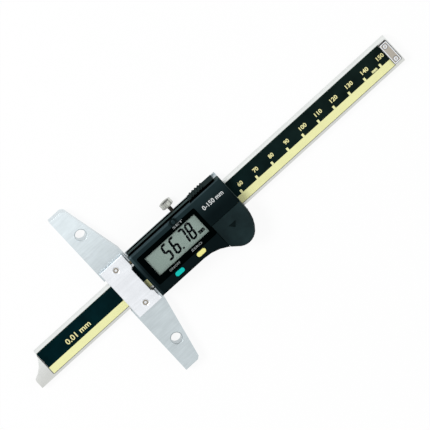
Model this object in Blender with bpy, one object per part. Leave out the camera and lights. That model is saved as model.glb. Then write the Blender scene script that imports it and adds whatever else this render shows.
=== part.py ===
"""Digital depth gauge: a steel beam that slides through a tapered base and a display housing.

The gauge lies on its back. X runs along the beam from its tip to its stop, Y runs across it towards the
clamp screw, and Z comes out of the display. X is zero on the line through the two holes of the base.
"""
import math

import bmesh
import bpy
from mathutils import Matrix, Vector

MM = 0.001

# Fits and general values
GAP = 0.3 * MM
OVERRUN = 2.0 * MM
EDGE_ROUND = 0.25 * MM
ARC_STEP = math.radians(12)
ROUND_SIDES = 24
SMOOTH_ANGLE = math.radians(35)

# Base
BASE_LENGTH = 100.0 * MM
BASE_DEPTH = 16.1 * MM
BASE_THICKNESS = 6.5 * MM
BASE_END_DEPTH = 8.8 * MM
BASE_STRAIGHT = 33.8 * MM
BASE_CORNER = 1.2 * MM
FACE_TO_HOLES = 7.0 * MM
HOLE_SPACING = 70.0 * MM
HOLE_DIAMETER = 5.5 * MM
HOLE_CHAMFER = 0.4 * MM
BACK_THICKNESS = 1.2 * MM
MOUTH_SETBACK = 0.9 * MM
MOUTH_WIDENING = 0.6 * MM
TENON_LENGTH = 4.9 * MM
TENON_MARGIN = 0.3 * MM

# Cover plate of the base
COVER_LENGTH = 14.3 * MM
COVER_WIDTH = 29.3 * MM
COVER_THICKNESS = 1.7 * MM
COVER_ROUND = 0.3 * MM
COVER_NOTCH = 1.2 * MM
COVER_NOTCH_WIDTH = 16.0 * MM
PIN_DIAMETER = 2.6 * MM
PIN_SPACING = 21.6 * MM
PIN_PLACE = 0.9 * MM
PIN_SINK = 0.2 * MM
PIN_FLOOR = 0.6 * MM

# Beam
BEAM_LENGTH = 235.5 * MM
BEAM_WIDTH = 16.0 * MM
BEAM_THICKNESS = 3.5 * MM
FOOT_WIDTH = 4.5 * MM
FOOT_REACH = 8.8 * MM
FOOT_SHOULDER = 1.7 * MM
FOOT_RADIUS = 14.9 * MM
READING = 56.78 * MM
SCALE_START = 8.65 * MM
SCALE_END_MARGIN = 4.95 * MM
SCALE_DEPTH = 1.2 * MM
SCALE_MARGIN = 1.35 * MM
SUBSTRATE_THICKNESS = 0.4 * MM
LABEL_THICKNESS = 0.2 * MM

# Stop plate
STOP_LENGTH = 4.6 * MM
STOP_WIDTH = 12.3 * MM
STOP_THICKNESS = 1.1 * MM
STOP_INSET = 0.5 * MM
STOP_SCREW_HEAD = 2.3 * MM
STOP_SCREW_SPACING = 8.0 * MM
STOP_SCREW_SHANK = 1.2 * MM
STOP_SCREW_SINK = 0.5 * MM
STOP_SCREW_REACH = 1.5 * MM

# Gib and clamp
GIB_THICKNESS = 1.7 * MM
GIB_MARGIN = 0.6 * MM
CLAMP_TO_SEAM = 9.0 * MM
CLAMP_NECK = 1.9 * MM
CLAMP_HEAD = 6.5 * MM
CLAMP_HEAD_LENGTH = 2.6 * MM
CLAMP_STANDOFF = 3.3 * MM
CLAMP_DISH = 0.5 * MM
CLAMP_KNURLS = 24
KNURL_DEPTH = 0.22 * MM
PAD_THICKNESS = 0.6 * MM
SET_SCREW_INSET = 6.0 * MM
SET_SCREW_DIAMETER = 1.6 * MM

# Slider frame and housing
FRAME_WALL = 2.3 * MM
SKIRT = 0.8 * MM
SKIRT_EXTRA = 0.4 * MM
CASE_LENGTH = 58.2 * MM
CASE_WALL = 1.2 * MM
CASE_CORNER = 1.3 * MM
FRONT_DEPTH = 3.3 * MM
CASE_EDGE = 0.7 * MM
DECK = 1.1 * MM
FRONT_HEIGHT = 14.5 * MM
FRONT_THICKNESS = 1.5 * MM
FRONT_EDGE = 0.45 * MM
FRONT_LOW_EDGE = 1.9 * MM
SEAM_TO_END = 18.4 * MM
GROOVE_DEPTH = 0.5 * MM
GROOVE_HEIGHT = 1.6 * MM

# Bulge of the housing round the battery
FLARE_RADIUS = 22.0 * MM
NOSE_TO_END = 9.9 * MM
NOSE_DROP = 1.5 * MM
NOSE_RADIUS = 7.7 * MM
FLANK_RADIUS = 16.0 * MM

# Battery and its cover
BATTERY_DIAMETER = 11.6 * MM
BATTERY_HEIGHT = 5.4 * MM
CONTACT_THICKNESS = 0.2 * MM
CONTACT_WIDTH = 5.0 * MM
POCKET_FLOOR = 0.6 * MM
BATTERY_COVER_TOP = 0.9 * MM
BATTERY_COVER_WALL = 1.1 * MM
BATTERY_COVER_START = 3.4 * MM
ARROW_WIDTH = 4.6 * MM
ARROW_LENGTH = 2.7 * MM
ARROW_DEPTH = 0.35 * MM
ARROW_PLACE = 4.3 * MM

# Output connector and its cover
PORT_LENGTH = 15.4 * MM
PORT_THICKNESS = 1.0 * MM
PORT_BELOW_FRONT = 2.2 * MM
PORT_LIP = 1.1 * MM
PORT_LIP_THICKNESS = 0.8 * MM
PORT_SET_BACK = 0.7 * MM
PORT_RIBS = 4
PORT_RIB_PITCH = 1.85 * MM
PORT_RIB_WIDTH = 0.8 * MM
PORT_RIB_HEIGHT = 0.4 * MM
PORT_RIB_START = 2.3 * MM
SOCKET_LENGTH = 10.0 * MM
SOCKET_DEPTH = 2.6 * MM
SOCKET_HEIGHT = 2.6 * MM
SOCKET_MARGIN = 0.5 * MM
PAD_COUNT = 5
PAD_PITCH = 1.8 * MM
PAD_WIDTH = 0.9 * MM

# Window and display
WINDOW_START = 2.8 * MM
WINDOW_WIDTH = 16.8 * MM
WINDOW_CENTRE = 1.0 * MM
WINDOW_THICKNESS = 0.9 * MM
WINDOW_SINK = 0.2 * MM
WINDOW_CORNER = 0.6 * MM
WINDOW_SEAT = 1.3 * MM
LCD_THICKNESS = 1.1 * MM
HOLDER_THICKNESS = 1.5 * MM
ZEBRA_WIDTH = 1.2 * MM
ZEBRA_INSET = 0.7 * MM
BOARD_THICKNESS = 0.8 * MM
DETECTOR_SET_BACK = 2.8 * MM
DETECTOR_THICKNESS = 0.8 * MM
CHIP_SIZE = 6.0 * MM
CHIP_HEIGHT = 0.9 * MM
CHIP_PLACE = 12.0 * MM

# Buttons
BUTTON_TRAVEL = 0.5 * MM
BUTTON_RISE = 0.3 * MM
PILL_LENGTH = 5.2 * MM
PILL_WIDTH = 2.2 * MM
PILL_CENTRE = -9.45 * MM
POWER_PLACE_share = 0.3065
ZERO_PLACE_share = 0.6839
SET_PLACE_share = 0.6812
SET_CENTRE = 11.1 * MM
SET_DIAMETER = 2.0 * MM
SET_CLEARANCE = 0.2 * MM
DISH_DIAMETER = 5.2 * MM
DISH_DEPTH = 0.5 * MM
FLANGE = 0.45 * MM
FLANGE_THICKNESS = 0.8 * MM
DOME_DIAMETER = 2.6 * MM
DOME_HEIGHT = 0.3 * MM

# Screws behind the housing
CASE_SCREW_HEAD = 1.9 * MM
CASE_SCREW_HEAD_HEIGHT = 0.5 * MM
CASE_SCREW_SHANK = 1.2 * MM
CASE_SCREW_TIP_MARGIN = 1.1 * MM
CASE_SCREW_INSET = 4.0 * MM
CASE_SCREW_SEAM_INSET = 3.8 * MM
CASE_SCREW_CLEARANCE = 0.25 * MM
BOSS_DIAMETER = 2.6 * MM

# Heights and places that follow from the sizes above
CHANNEL_HALF = (BEAM_WIDTH + GIB_THICKNESS + 3 * GAP) / 2
BEAM_LOW = -CHANNEL_HALF + GAP
BEAM_HIGH = BEAM_LOW + BEAM_WIDTH
BEAM_CENTRE = (BEAM_LOW + BEAM_HIGH) / 2
BEAM_FLOOR = BACK_THICKNESS + GAP
BEAM_TOP = BEAM_FLOOR + BEAM_THICKNESS
TIP = -FACE_TO_HOLES - READING
FACE = -FACE_TO_HOLES
BASE_BACK = FACE + BASE_DEPTH
CASE_START = BASE_BACK + GAP
CASE_END = CASE_START + CASE_LENGTH
FRAME_HALF = CHANNEL_HALF + FRAME_WALL
CASE_PARTING = FRONT_HEIGHT - FRONT_DEPTH
PORT_HEIGHT = FRONT_HEIGHT - PORT_BELOW_FRONT
CASE_HIGH = FRAME_HALF + GAP + SKIRT
CASE_LOW = -CASE_HIGH - SKIRT_EXTRA
FRAME_TOP = BEAM_TOP + GAP + DETECTOR_THICKNESS
DECK_FLOOR = FRAME_TOP + GAP
DECK_TOP = DECK_FLOOR + DECK
SKIRT_FLOOR = BACK_THICKNESS + GAP
FRONT_FLOOR = CASE_PARTING + GAP
CAVITY_TOP = FRONT_HEIGHT - FRONT_THICKNESS
SEAM = CASE_END - SEAM_TO_END
CLAMP_PLACE = SEAM - CLAMP_TO_SEAM
GIB_LOW = BEAM_HIGH + GAP
GIB_HIGH = GIB_LOW + GIB_THICKNESS
CLAMP_HEIGHT = BEAM_FLOOR + BEAM_THICKNESS / 2
NOSE_X = CASE_END - NOSE_TO_END
NOSE_Y = CASE_LOW - NOSE_DROP
WINDOW_LOW = WINDOW_CENTRE - WINDOW_WIDTH / 2
WINDOW_HIGH = WINDOW_CENTRE + WINDOW_WIDTH / 2
WINDOW_LEFT = CASE_START + WINDOW_START
WINDOW_RIGHT = SEAM - GAP
WINDOW_LENGTH = WINDOW_RIGHT - WINDOW_LEFT
POWER_PLACE = WINDOW_LEFT + WINDOW_LENGTH * POWER_PLACE_share
ZERO_PLACE = WINDOW_LEFT + WINDOW_LENGTH * ZERO_PLACE_share
SET_PLACE = WINDOW_LEFT + WINDOW_LENGTH * SET_PLACE_share
WINDOW_TOP = FRONT_HEIGHT - WINDOW_SINK
WINDOW_FLOOR = WINDOW_TOP - WINDOW_THICKNESS
LCD_LEFT = WINDOW_LEFT + WINDOW_SEAT + GAP
LCD_RIGHT = WINDOW_RIGHT - WINDOW_SEAT - GAP
LCD_LOW = WINDOW_LOW + WINDOW_SEAT + GAP
LCD_HIGH = WINDOW_HIGH - WINDOW_SEAT - GAP
LCD_TOP = WINDOW_FLOOR - GAP
LCD_FLOOR = LCD_TOP - LCD_THICKNESS
HOLDER_TOP = LCD_FLOOR - GAP
HOLDER_FLOOR = HOLDER_TOP - HOLDER_THICKNESS
BOARD_TOP = HOLDER_FLOOR - GAP
BOARD_FLOOR = BOARD_TOP - BOARD_THICKNESS
BOARD_LEFT = CASE_START + CASE_WALL + GAP
BOARD_RIGHT = SEAM - CASE_WALL - GAP
CASE_SCREW_REACH = BOARD_FLOOR - CASE_SCREW_TIP_MARGIN
BATTERY_Y = NOSE_Y
CONTACT_FLOOR = DECK_FLOOR + POCKET_FLOOR + GAP
BATTERY_FLOOR = CONTACT_FLOOR + CONTACT_THICKNESS + GAP
POCKET_RADIUS = BATTERY_DIAMETER / 2 + GAP
BATTERY_COVER_LEFT = SEAM + GAP
PORT_START = SEAM + 2 * GAP


def srgb(red, green, blue):
    """Linear colour of a screen colour given from 0 to 255."""
    def linear(value):
        share = value / 255
        return share / 12.92 if share <= 0.04045 else ((share + 0.055) / 1.055) ** 2.4
    return linear(red), linear(green), linear(blue), 1.0


def finish(name, colour, roughness, metallic=0.0):
    material = bpy.data.materials.new(name)
    material.use_nodes = True
    shader = material.node_tree.nodes["Principled BSDF"]
    shader.inputs["Base Color"].default_value = srgb(*colour)
    shader.inputs["Roughness"].default_value = roughness
    shader.inputs["Metallic"].default_value = metallic
    return material


def ground_steel(name, tone=214):
    return finish(name, (tone, tone + 4, tone + 5), 0.35, 1.0)


def black_plastic(name, tone=26):
    return finish(name, (tone, tone + 8, tone + 9), 0.5)


def add_object(name, mesh_bm, material):
    """Turns a bmesh into a named object with its normals pointing out."""
    bmesh.ops.remove_doubles(mesh_bm, verts=mesh_bm.verts, dist=MM / 1000)
    bmesh.ops.recalc_face_normals(mesh_bm, faces=mesh_bm.faces)
    mesh = bpy.data.meshes.new(name)
    mesh_bm.to_mesh(mesh)
    mesh_bm.free()
    mesh.shade_smooth()
    mesh.set_sharp_from_angle(angle=SMOOTH_ANGLE)
    obj = bpy.data.objects.new(name, mesh)
    bpy.context.scene.collection.objects.link(obj)
    if material:
        mesh.materials.append(material)
    return obj


def add_prism(bm, outline, low, high):
    """Extrudes a closed outline of XY points from one height to another."""
    verts = [bm.verts.new((x, y, low)) for x, y in outline]
    face = bm.faces.new(verts)
    grown = bmesh.ops.extrude_face_region(bm, geom=[face])
    top = [item for item in grown["geom"] if isinstance(item, bmesh.types.BMVert)]
    bmesh.ops.translate(bm, verts=top, vec=(0, 0, high - low))


def add_block(bm, low, high):
    size = Vector(high) - Vector(low)
    centre = (Vector(high) + Vector(low)) / 2
    matrix = Matrix.Translation(centre) @ Matrix.Diagonal((size.x, size.y, size.z, 1))
    bmesh.ops.create_cube(bm, size=1, matrix=matrix)


def add_rod(bm, centre, radius, length, axis="Z", top_radius=None, sides=ROUND_SIDES):
    """A round rod or cone that starts at centre and runs along the axis."""
    turn = Matrix.Rotation(-math.pi / 2, 4, "X") if axis == "Y" else Matrix.Identity(4)
    matrix = Matrix.Translation(centre) @ turn @ Matrix.Translation((0, 0, length / 2))
    far = radius if top_radius is None else top_radius
    bmesh.ops.create_cone(bm, cap_ends=True, segments=sides, radius1=radius, radius2=far,
                          depth=length, matrix=matrix)


def block(name, low, high, material=None):
    bm = bmesh.new()
    add_block(bm, low, high)
    return add_object(name, bm, material)


def prism(name, outline, low, high, material=None):
    bm = bmesh.new()
    add_prism(bm, outline, low, high)
    return add_object(name, bm, material)


def rod(name, centre, radius, length, axis="Z", top_radius=None, material=None, sides=ROUND_SIDES):
    bm = bmesh.new()
    add_rod(bm, centre, radius, length, axis, top_radius, sides)
    return add_object(name, bm, material)


def boolean(target, tool, operation):
    tool.hide_render = True
    tool.display_type = "WIRE"
    change = target.modifiers.new(tool.name, "BOOLEAN")
    change.operation = operation
    change.solver = "EXACT"
    change.object = tool


def cut(target, *tools):
    for tool in tools:
        boolean(target, tool, "DIFFERENCE")


def join(target, *tools):
    for tool in tools:
        boolean(target, tool, "UNION")


def soften(obj, width, segments=2, angle=40):
    """Rounds the sharp edges of a piece after its other modifiers."""
    change = obj.modifiers.new("edges", "BEVEL")
    change.width = width
    change.segments = segments
    change.limit_method = "ANGLE"
    change.angle_limit = math.radians(angle)


def ring_stack(name, rings, material):
    """Skins a stack of matching rings of points and closes both ends."""
    bm = bmesh.new()
    loops = []
    for ring in rings:
        verts = [bm.verts.new(point) for point in ring]
        loops.append([bm.edges.new(pair) for pair in zip(verts, verts[1:] + verts[:1])])
    for lower, upper in zip(loops, loops[1:]):
        bmesh.ops.bridge_loops(bm, edges=lower + upper)
    for loop in (loops[0], loops[-1]):
        bmesh.ops.contextual_create(bm, geom=loop)
    return add_object(name, bm, material)


def arc(centre_x, centre_y, radius, start, end):
    """Points on a circle from one angle to another, both included."""
    steps = max(2, round(abs(end - start) / ARC_STEP))
    points = []
    for index in range(steps + 1):
        angle = start + (end - start) * index / steps
        points.append((centre_x + radius * math.cos(angle), centre_y + radius * math.sin(angle)))
    return points


def rectangle(left, right, low, high, corner=0.0):
    if not corner:
        return [(left, low), (right, low), (right, high), (left, high)]
    quarter = math.pi / 2
    return (arc(right - corner, low + corner, corner, -quarter, 0)
            + arc(right - corner, high - corner, corner, 0, quarter)
            + arc(left + corner, high - corner, corner, quarter, 2 * quarter)
            + arc(left + corner, low + corner, corner, 2 * quarter, 3 * quarter))


def pill(centre_x, centre_y, length, width):
    half = (length - width) / 2
    quarter = math.pi / 2
    return (arc(centre_x + half, centre_y, width / 2, -quarter, quarter)
            + arc(centre_x - half, centre_y, width / 2, quarter, 3 * quarter))


def bulge(inset=0.0):
    """The curved side of the housing from the flare, round the nose, to the end wall.

    A hollow flare, the round nose and a flatter flank touch without a corner. The inset moves the
    whole line towards the inside of the housing.
    """
    flare = FLARE_RADIUS + inset
    nose = NOSE_RADIUS - inset
    flank = FLANK_RADIUS - inset
    flare_x = NOSE_X - math.sqrt((FLARE_RADIUS + NOSE_RADIUS) ** 2 - (FLARE_RADIUS - NOSE_DROP) ** 2)
    flare_y = CASE_LOW - FLARE_RADIUS
    toward_nose = math.atan2(NOSE_Y - flare_y, NOSE_X - flare_x)
    flank_x = CASE_END - FLANK_RADIUS
    flank_y = NOSE_Y + math.sqrt((FLANK_RADIUS - NOSE_RADIUS) ** 2 - (NOSE_X - flank_x) ** 2)
    from_flank = math.atan2(NOSE_Y - flank_y, NOSE_X - flank_x)
    points = arc(flare_x, flare_y, flare, math.pi / 2, toward_nose)
    points += arc(NOSE_X, NOSE_Y, nose, toward_nose - math.pi, from_flank)[1:]
    points += arc(flank_x, flank_y, flank, from_flank, 0)[1:]
    return points


def housing_ring(low_inset, end_inset, low_height, end_height):
    """Plan of the whole housing, counter-clockwise, with cut corners on the clamp side.

    The side towards the battery has its own inset and height, so that its round can be broader.
    """
    left = CASE_START + end_inset
    right = CASE_END - end_inset
    high = CASE_HIGH - end_inset
    low_side = [(left, CASE_LOW + low_inset)] + bulge(low_inset)
    high_side = [(right, high - CASE_CORNER), (right - CASE_CORNER, high),
                 (left + CASE_CORNER, high), (left, high - CASE_CORNER)]
    return ([(x, y, low_height) for x, y in low_side]
            + [(x, y, end_height) for x, y in high_side])


def housing(name, floor, top, low_round, end_round, floor_round, material):
    """A solid housing half with a round of its own along each long side."""
    rings = []
    steps = 3
    if floor_round:
        rings.append(housing_ring(floor_round, floor_round, floor, floor))
        floor += floor_round
    rings.append(housing_ring(0.0, 0.0, floor, floor))
    for step in range(steps + 1):
        turn = math.pi / 2 * step / steps
        inward = 1 - math.cos(turn)
        down = 1 - math.sin(turn)
        rings.append(housing_ring(low_round * inward, end_round * inward,
                                  top - low_round * down, top - end_round * down))
    return ring_stack(name, rings, material)


def channel_cut(name):
    """The space of the slider frame and the beam below the deck, with the running gap."""
    half = FRAME_HALF + GAP
    return block(name, (CASE_START - OVERRUN, -half, -OVERRUN), (CASE_END + OVERRUN, half, DECK_FLOOR))


def make_base():
    half = BASE_LENGTH / 2
    straight = BASE_STRAIGHT / 2
    slope = (BASE_DEPTH - BASE_END_DEPTH) / (half - straight)
    end = FACE + BASE_END_DEPTH
    side = [(FACE, half), (end - BASE_CORNER, half), (end + BASE_CORNER * slope, half - BASE_CORNER),
            (BASE_BACK, straight)]
    outline = side + [(x, -y) for x, y in reversed(side)]
    base = prism("base", outline, 0, BASE_THICKNESS, ground_steel("base_steel", 206))
    mouth = CHANNEL_HALF + MOUTH_WIDENING
    cut(base, block("channel_of_base", (FACE - OVERRUN, -CHANNEL_HALF, BACK_THICKNESS),
                    (BASE_BACK + OVERRUN, CHANNEL_HALF, BASE_THICKNESS + OVERRUN)),
        block("mouth_of_base", (FACE - OVERRUN, -mouth, -OVERRUN),
              (FACE + MOUTH_SETBACK, mouth, BASE_THICKNESS + OVERRUN)))
    for sign in (-1, 1):
        place = sign * HOLE_SPACING / 2
        radius = HOLE_DIAMETER / 2
        side_name = "low" if sign < 0 else "high"
        low, high = sorted_pair(sign, tenon_inner() - GAP)
        cut(base, rod("hole_" + side_name, (0, place, -OVERRUN), radius, BASE_THICKNESS + 2 * OVERRUN),
            rod("countersink_" + side_name, (0, place, BASE_THICKNESS - HOLE_CHAMFER), radius,
                2 * HOLE_CHAMFER, top_radius=radius + 2 * HOLE_CHAMFER),
            rod("pin_hole_" + side_name, (PIN_PLACE, sign * PIN_SPACING / 2, PIN_FLOOR),
                PIN_DIAMETER / 2 + GAP, BASE_THICKNESS + OVERRUN),
            block("mortise_" + side_name, (BASE_BACK - TENON_LENGTH - GAP, low, BEAM_FLOOR - GAP / 2),
                  (BASE_BACK + OVERRUN, high, BEAM_TOP + GAP / 2)))
    soften(base, EDGE_ROUND)
    return base


def tenon_inner():
    return CHANNEL_HALF + TENON_MARGIN + GAP


def tenon_outer():
    return FRAME_HALF - TENON_MARGIN


def sorted_pair(sign, inner):
    """The Y limits of a tenon's space on one side, lowest first."""
    outer = tenon_outer() + (tenon_inner() - inner)
    return (inner, outer) if sign > 0 else (-outer, -inner)


def make_cover():
    left = FACE + MOUTH_SETBACK
    low = BASE_THICKNESS + GAP
    right = left + COVER_LENGTH
    half = COVER_WIDTH / 2
    notch = COVER_NOTCH_WIDTH / 2
    outline = [(left, -half), (right, -half), (right, BEAM_CENTRE - notch),
               (right - COVER_NOTCH, BEAM_CENTRE - notch + COVER_NOTCH),
               (right - COVER_NOTCH, BEAM_CENTRE + notch - COVER_NOTCH),
               (right, BEAM_CENTRE + notch), (right, half), (left, half)]
    material = ground_steel("cover_steel", 228)
    cover = prism("base_cover", outline, low, low + COVER_THICKNESS, material)
    tongue = CHANNEL_HALF - GAP
    join(cover, block("cover_tongue", (left, -tongue, BEAM_TOP + GAP),
                      (right - COVER_NOTCH, tongue, low + COVER_THICKNESS / 2)))
    pin_material = ground_steel("pin_steel", 186)
    for number, sign in enumerate((-1, 1), 1):
        place = sign * PIN_SPACING / 2
        cut(cover, rod("cover_hole" + str(sign), (PIN_PLACE, place, low - OVERRUN),
                       PIN_DIAMETER / 2 + GAP, COVER_THICKNESS + 2 * OVERRUN))
        floor = PIN_FLOOR + GAP
        rod(f"cover_pin_{number}", (PIN_PLACE, place, floor), PIN_DIAMETER / 2,
            low + COVER_THICKNESS - PIN_SINK - floor, material=pin_material)
    soften(cover, COVER_ROUND)


def make_beam():
    centre_drop = math.sqrt(FOOT_RADIUS ** 2 - foot_half_chord() ** 2)
    start = (TIP, BEAM_LOW + FOOT_WIDTH)
    end = (TIP + FOOT_REACH, BEAM_HIGH - FOOT_SHOULDER)
    middle = Vector(((start[0] + end[0]) / 2, (start[1] + end[1]) / 2))
    along = Vector((end[0] - start[0], end[1] - start[1])).normalized()
    centre = middle + Vector((-along.y, along.x)) * centre_drop
    first = math.atan2(start[1] - centre.y, start[0] - centre.x)
    last = math.atan2(end[1] - centre.y, end[0] - centre.x)
    neck = arc(centre.x, centre.y, FOOT_RADIUS, first, last)
    right = TIP + BEAM_LENGTH
    outline = ([(TIP, BEAM_LOW), (right, BEAM_LOW), (right, BEAM_HIGH), (TIP + FOOT_REACH, BEAM_HIGH)]
               + list(reversed(neck)))
    beam = prism("beam", outline, BEAM_FLOOR, BEAM_TOP, ground_steel("beam_steel", 214))
    scale_left = TIP + SCALE_START
    scale_right = TIP + BEAM_LENGTH - SCALE_END_MARGIN
    scale_low = BEAM_LOW + SCALE_MARGIN
    scale_high = BEAM_HIGH - SCALE_MARGIN
    cut(beam, block("scale_recess", (scale_left, scale_low, BEAM_TOP - SCALE_DEPTH),
                    (scale_right, scale_high, BEAM_TOP + OVERRUN)))
    substrate_floor = BEAM_TOP - SCALE_DEPTH + GAP
    block("scale_substrate", (scale_left + GAP, scale_low + GAP, substrate_floor),
          (scale_right - GAP, scale_high - GAP, substrate_floor + SUBSTRATE_THICKNESS),
          finish("scale_board", (70, 92, 60), 0.6))
    block("scale_label", (scale_left + GAP, scale_low + GAP, BEAM_TOP - LABEL_THICKNESS),
          (scale_right - GAP, scale_high - GAP, BEAM_TOP), finish("label_film", (18, 34, 38), 0.4))
    plate_right = right - STOP_INSET
    plate_left = plate_right - STOP_LENGTH
    plate_floor = BEAM_TOP + GAP
    plate_half = STOP_WIDTH / 2
    plate = prism("stop_plate", rectangle(plate_left, plate_right, BEAM_CENTRE - plate_half,
                                          BEAM_CENTRE + plate_half, STOP_INSET),
                  plate_floor, plate_floor + STOP_THICKNESS, ground_steel("stop_steel", 196))
    screw_material = ground_steel("stop_screw_steel", 150)
    screw_x = (plate_left + plate_right) / 2
    head_floor = plate_floor + STOP_THICKNESS - STOP_SCREW_SINK
    foot = BEAM_TOP - STOP_SCREW_REACH
    for number, sign in enumerate((-1, 1), 1):
        screw_y = BEAM_CENTRE + sign * STOP_SCREW_SPACING / 2
        cut(plate, rod("stop_head_hole" + str(sign), (screw_x, screw_y, head_floor - GAP),
                       STOP_SCREW_HEAD / 2 + GAP / 2, STOP_THICKNESS + OVERRUN),
            rod("stop_hole" + str(sign), (screw_x, screw_y, BEAM_TOP - GAP),
                STOP_SCREW_SHANK / 2 + GAP / 2, STOP_THICKNESS + OVERRUN))
        cut(beam, rod("stop_thread" + str(sign), (screw_x, screw_y, foot - GAP),
                      STOP_SCREW_SHANK / 2 + GAP, STOP_SCREW_REACH + OVERRUN))
        screw(f"stop_screw_{number}", (screw_x, screw_y), foot, head_floor, STOP_SCREW_SHANK,
              STOP_SCREW_HEAD, STOP_SCREW_SINK, screw_material)
    soften(beam, EDGE_ROUND / 2, 1)


def foot_half_chord():
    rise = BEAM_WIDTH - FOOT_SHOULDER - FOOT_WIDTH
    return math.hypot(FOOT_REACH, rise) / 2


def screw(name, place, foot, seat, shank, head, head_height, material, upward=False):
    """A cheese head screw turned as one profile, with its head seat and its foot at given heights."""
    reach = abs(seat - foot)
    profile = [(0, -reach), (shank / 2, -reach), (shank / 2, 0), (head / 2, 0),
               (head / 2, head_height), (0, head_height)]
    turn = Matrix.Rotation(math.pi, 4, "X") if upward else Matrix.Identity(4)
    turned(name, profile, Matrix.Translation((*place, seat)) @ turn, ROUND_SIDES // 2, material)


def turned(name, profile, matrix, sides, material):
    """Spins a profile of (radius, height) points a full turn."""
    bm = bmesh.new()
    verts = [bm.verts.new((radius, 0, height)) for radius, height in profile]
    edges = [bm.edges.new(pair) for pair in zip(verts, verts[1:])]
    bmesh.ops.spin(bm, geom=verts + edges, cent=(0, 0, 0), axis=(0, 0, 1), angle=2 * math.pi,
                   steps=sides, use_merge=True)
    bmesh.ops.transform(bm, verts=bm.verts, matrix=matrix)
    return add_object(name, bm, material)


def make_gib():
    left = FACE + MOUTH_SETBACK + GAP
    right = CASE_END - GIB_MARGIN
    gib = block("gib", (left, GIB_LOW, BEAM_FLOOR), (right, GIB_HIGH, BEAM_TOP),
                finish("gib_brass", (176, 150, 96), 0.4, 1.0))
    soften(gib, EDGE_ROUND / 2, 1)
    rod("clamp_pad", (CLAMP_PLACE, GIB_HIGH + GAP, CLAMP_HEIGHT), CLAMP_NECK / 2, PAD_THICKNESS,
        "Y", material=finish("pad_brass", (188, 160, 100), 0.35, 1.0))


def clamp_head_outline(radius):
    """A knurled round: the rim steps between the full radius and the foot of the knurl."""
    points = []
    for index in range(2 * CLAMP_KNURLS):
        angle = math.pi * index / CLAMP_KNURLS
        reach = radius if index % 2 else radius - KNURL_DEPTH
        points.append((reach * math.cos(angle), reach * math.sin(angle)))
    return points


def make_clamp_screw():
    """Thread, neck and a knurled head that is dished at its outer end."""
    head = bmesh.new()
    add_prism(head, clamp_head_outline(CLAMP_HEAD / 2), 0, CLAMP_HEAD_LENGTH)
    head_y = CASE_HIGH + CLAMP_STANDOFF
    turn = Matrix.Rotation(-math.pi / 2, 4, "X")
    bmesh.ops.transform(head, verts=head.verts,
                        matrix=Matrix.Translation((CLAMP_PLACE, head_y, CLAMP_HEIGHT)) @ turn)
    screw = add_object("clamp_screw", head, ground_steel("clamp_steel", 200))
    tip = GIB_HIGH + 2 * GAP + PAD_THICKNESS
    join(screw, rod("clamp_shank", (CLAMP_PLACE, tip, CLAMP_HEIGHT), CLAMP_NECK / 2,
                    head_y + CLAMP_HEAD_LENGTH / 2 - tip, "Y"))
    cut(screw, rod("clamp_dish", (CLAMP_PLACE, head_y + CLAMP_HEAD_LENGTH - CLAMP_DISH, CLAMP_HEIGHT),
                   CLAMP_HEAD / 4, OVERRUN, "Y", top_radius=CLAMP_HEAD / 4 + OVERRUN))


def clamp_hole(name):
    return rod(name, (CLAMP_PLACE, CHANNEL_HALF - OVERRUN / 2, CLAMP_HEIGHT), CLAMP_NECK / 2 + GAP,
               CASE_HIGH - CHANNEL_HALF + OVERRUN, "Y")


def case_screw_places():
    side = (CHANNEL_HALF + FRAME_HALF) / 2
    along = CASE_START + CASE_SCREW_INSET, SEAM - CASE_SCREW_SEAM_INSET
    return [(x, sign * side) for x in along for sign in (-1, 1)]


def set_screw_places():
    return CASE_START + SET_SCREW_INSET, CASE_END - SET_SCREW_INSET


def make_frame():
    """Steel channel: a full width back plate with two guide walls and two tenons for the base."""
    left = CASE_START
    right = CASE_END - GAP
    low = CASE_LOW + GAP
    high = CASE_HIGH - GAP
    frame = block("slider_frame", (left, low, 0), (right, high, BACK_THICKNESS),
                  ground_steel("frame_steel", 170))
    for sign in (-1, 1):
        inner, outer = sorted((sign * CHANNEL_HALF, sign * FRAME_HALF))
        name = "low" if sign < 0 else "high"
        tenon = sorted_pair(sign, tenon_inner())
        join(frame, block("wall_" + name, (left, inner, BACK_THICKNESS / 2), (right, outer, FRAME_TOP)),
             block("tenon_" + name, (BASE_BACK - TENON_LENGTH, tenon[0], BEAM_FLOOR + GAP / 2),
                   (left + FRAME_WALL, tenon[1], BEAM_TOP - GAP / 2)))
    for index, (x, y) in enumerate(case_screw_places()):
        cut(frame, rod("screw_hole" + str(index), (x, y, -OVERRUN),
                       CASE_SCREW_SHANK / 2 + CASE_SCREW_CLEARANCE, FRAME_TOP + 2 * OVERRUN),
            rod("head_hole" + str(index), (x, y, -OVERRUN), CASE_SCREW_HEAD / 2 + GAP,
                OVERRUN + GAP + CASE_SCREW_HEAD_HEIGHT))
    cut(frame, clamp_hole("clamp_hole_frame"))
    set_material = ground_steel("set_screw_steel", 90)
    for index, x in enumerate(set_screw_places()):
        cut(frame, rod("set_screw_hole" + str(index), (x, CHANNEL_HALF - OVERRUN / 2, CLAMP_HEIGHT),
                       SET_SCREW_DIAMETER / 2 + GAP, FRAME_WALL + OVERRUN, "Y"))
        rod(f"gib_set_screw_{index + 1}", (x, GIB_HIGH + GAP, CLAMP_HEIGHT), SET_SCREW_DIAMETER / 2,
            FRAME_WALL, "Y", material=set_material, sides=ROUND_SIDES // 2)
    case_material = ground_steel("case_screw_steel", 120)
    seat = GAP / 2 + CASE_SCREW_HEAD_HEIGHT
    for index, place in enumerate(case_screw_places()):
        screw(f"case_screw_{index + 1}", place, CASE_SCREW_REACH, seat, CASE_SCREW_SHANK,
              CASE_SCREW_HEAD, CASE_SCREW_HEAD_HEIGHT, case_material, upward=True)


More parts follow.
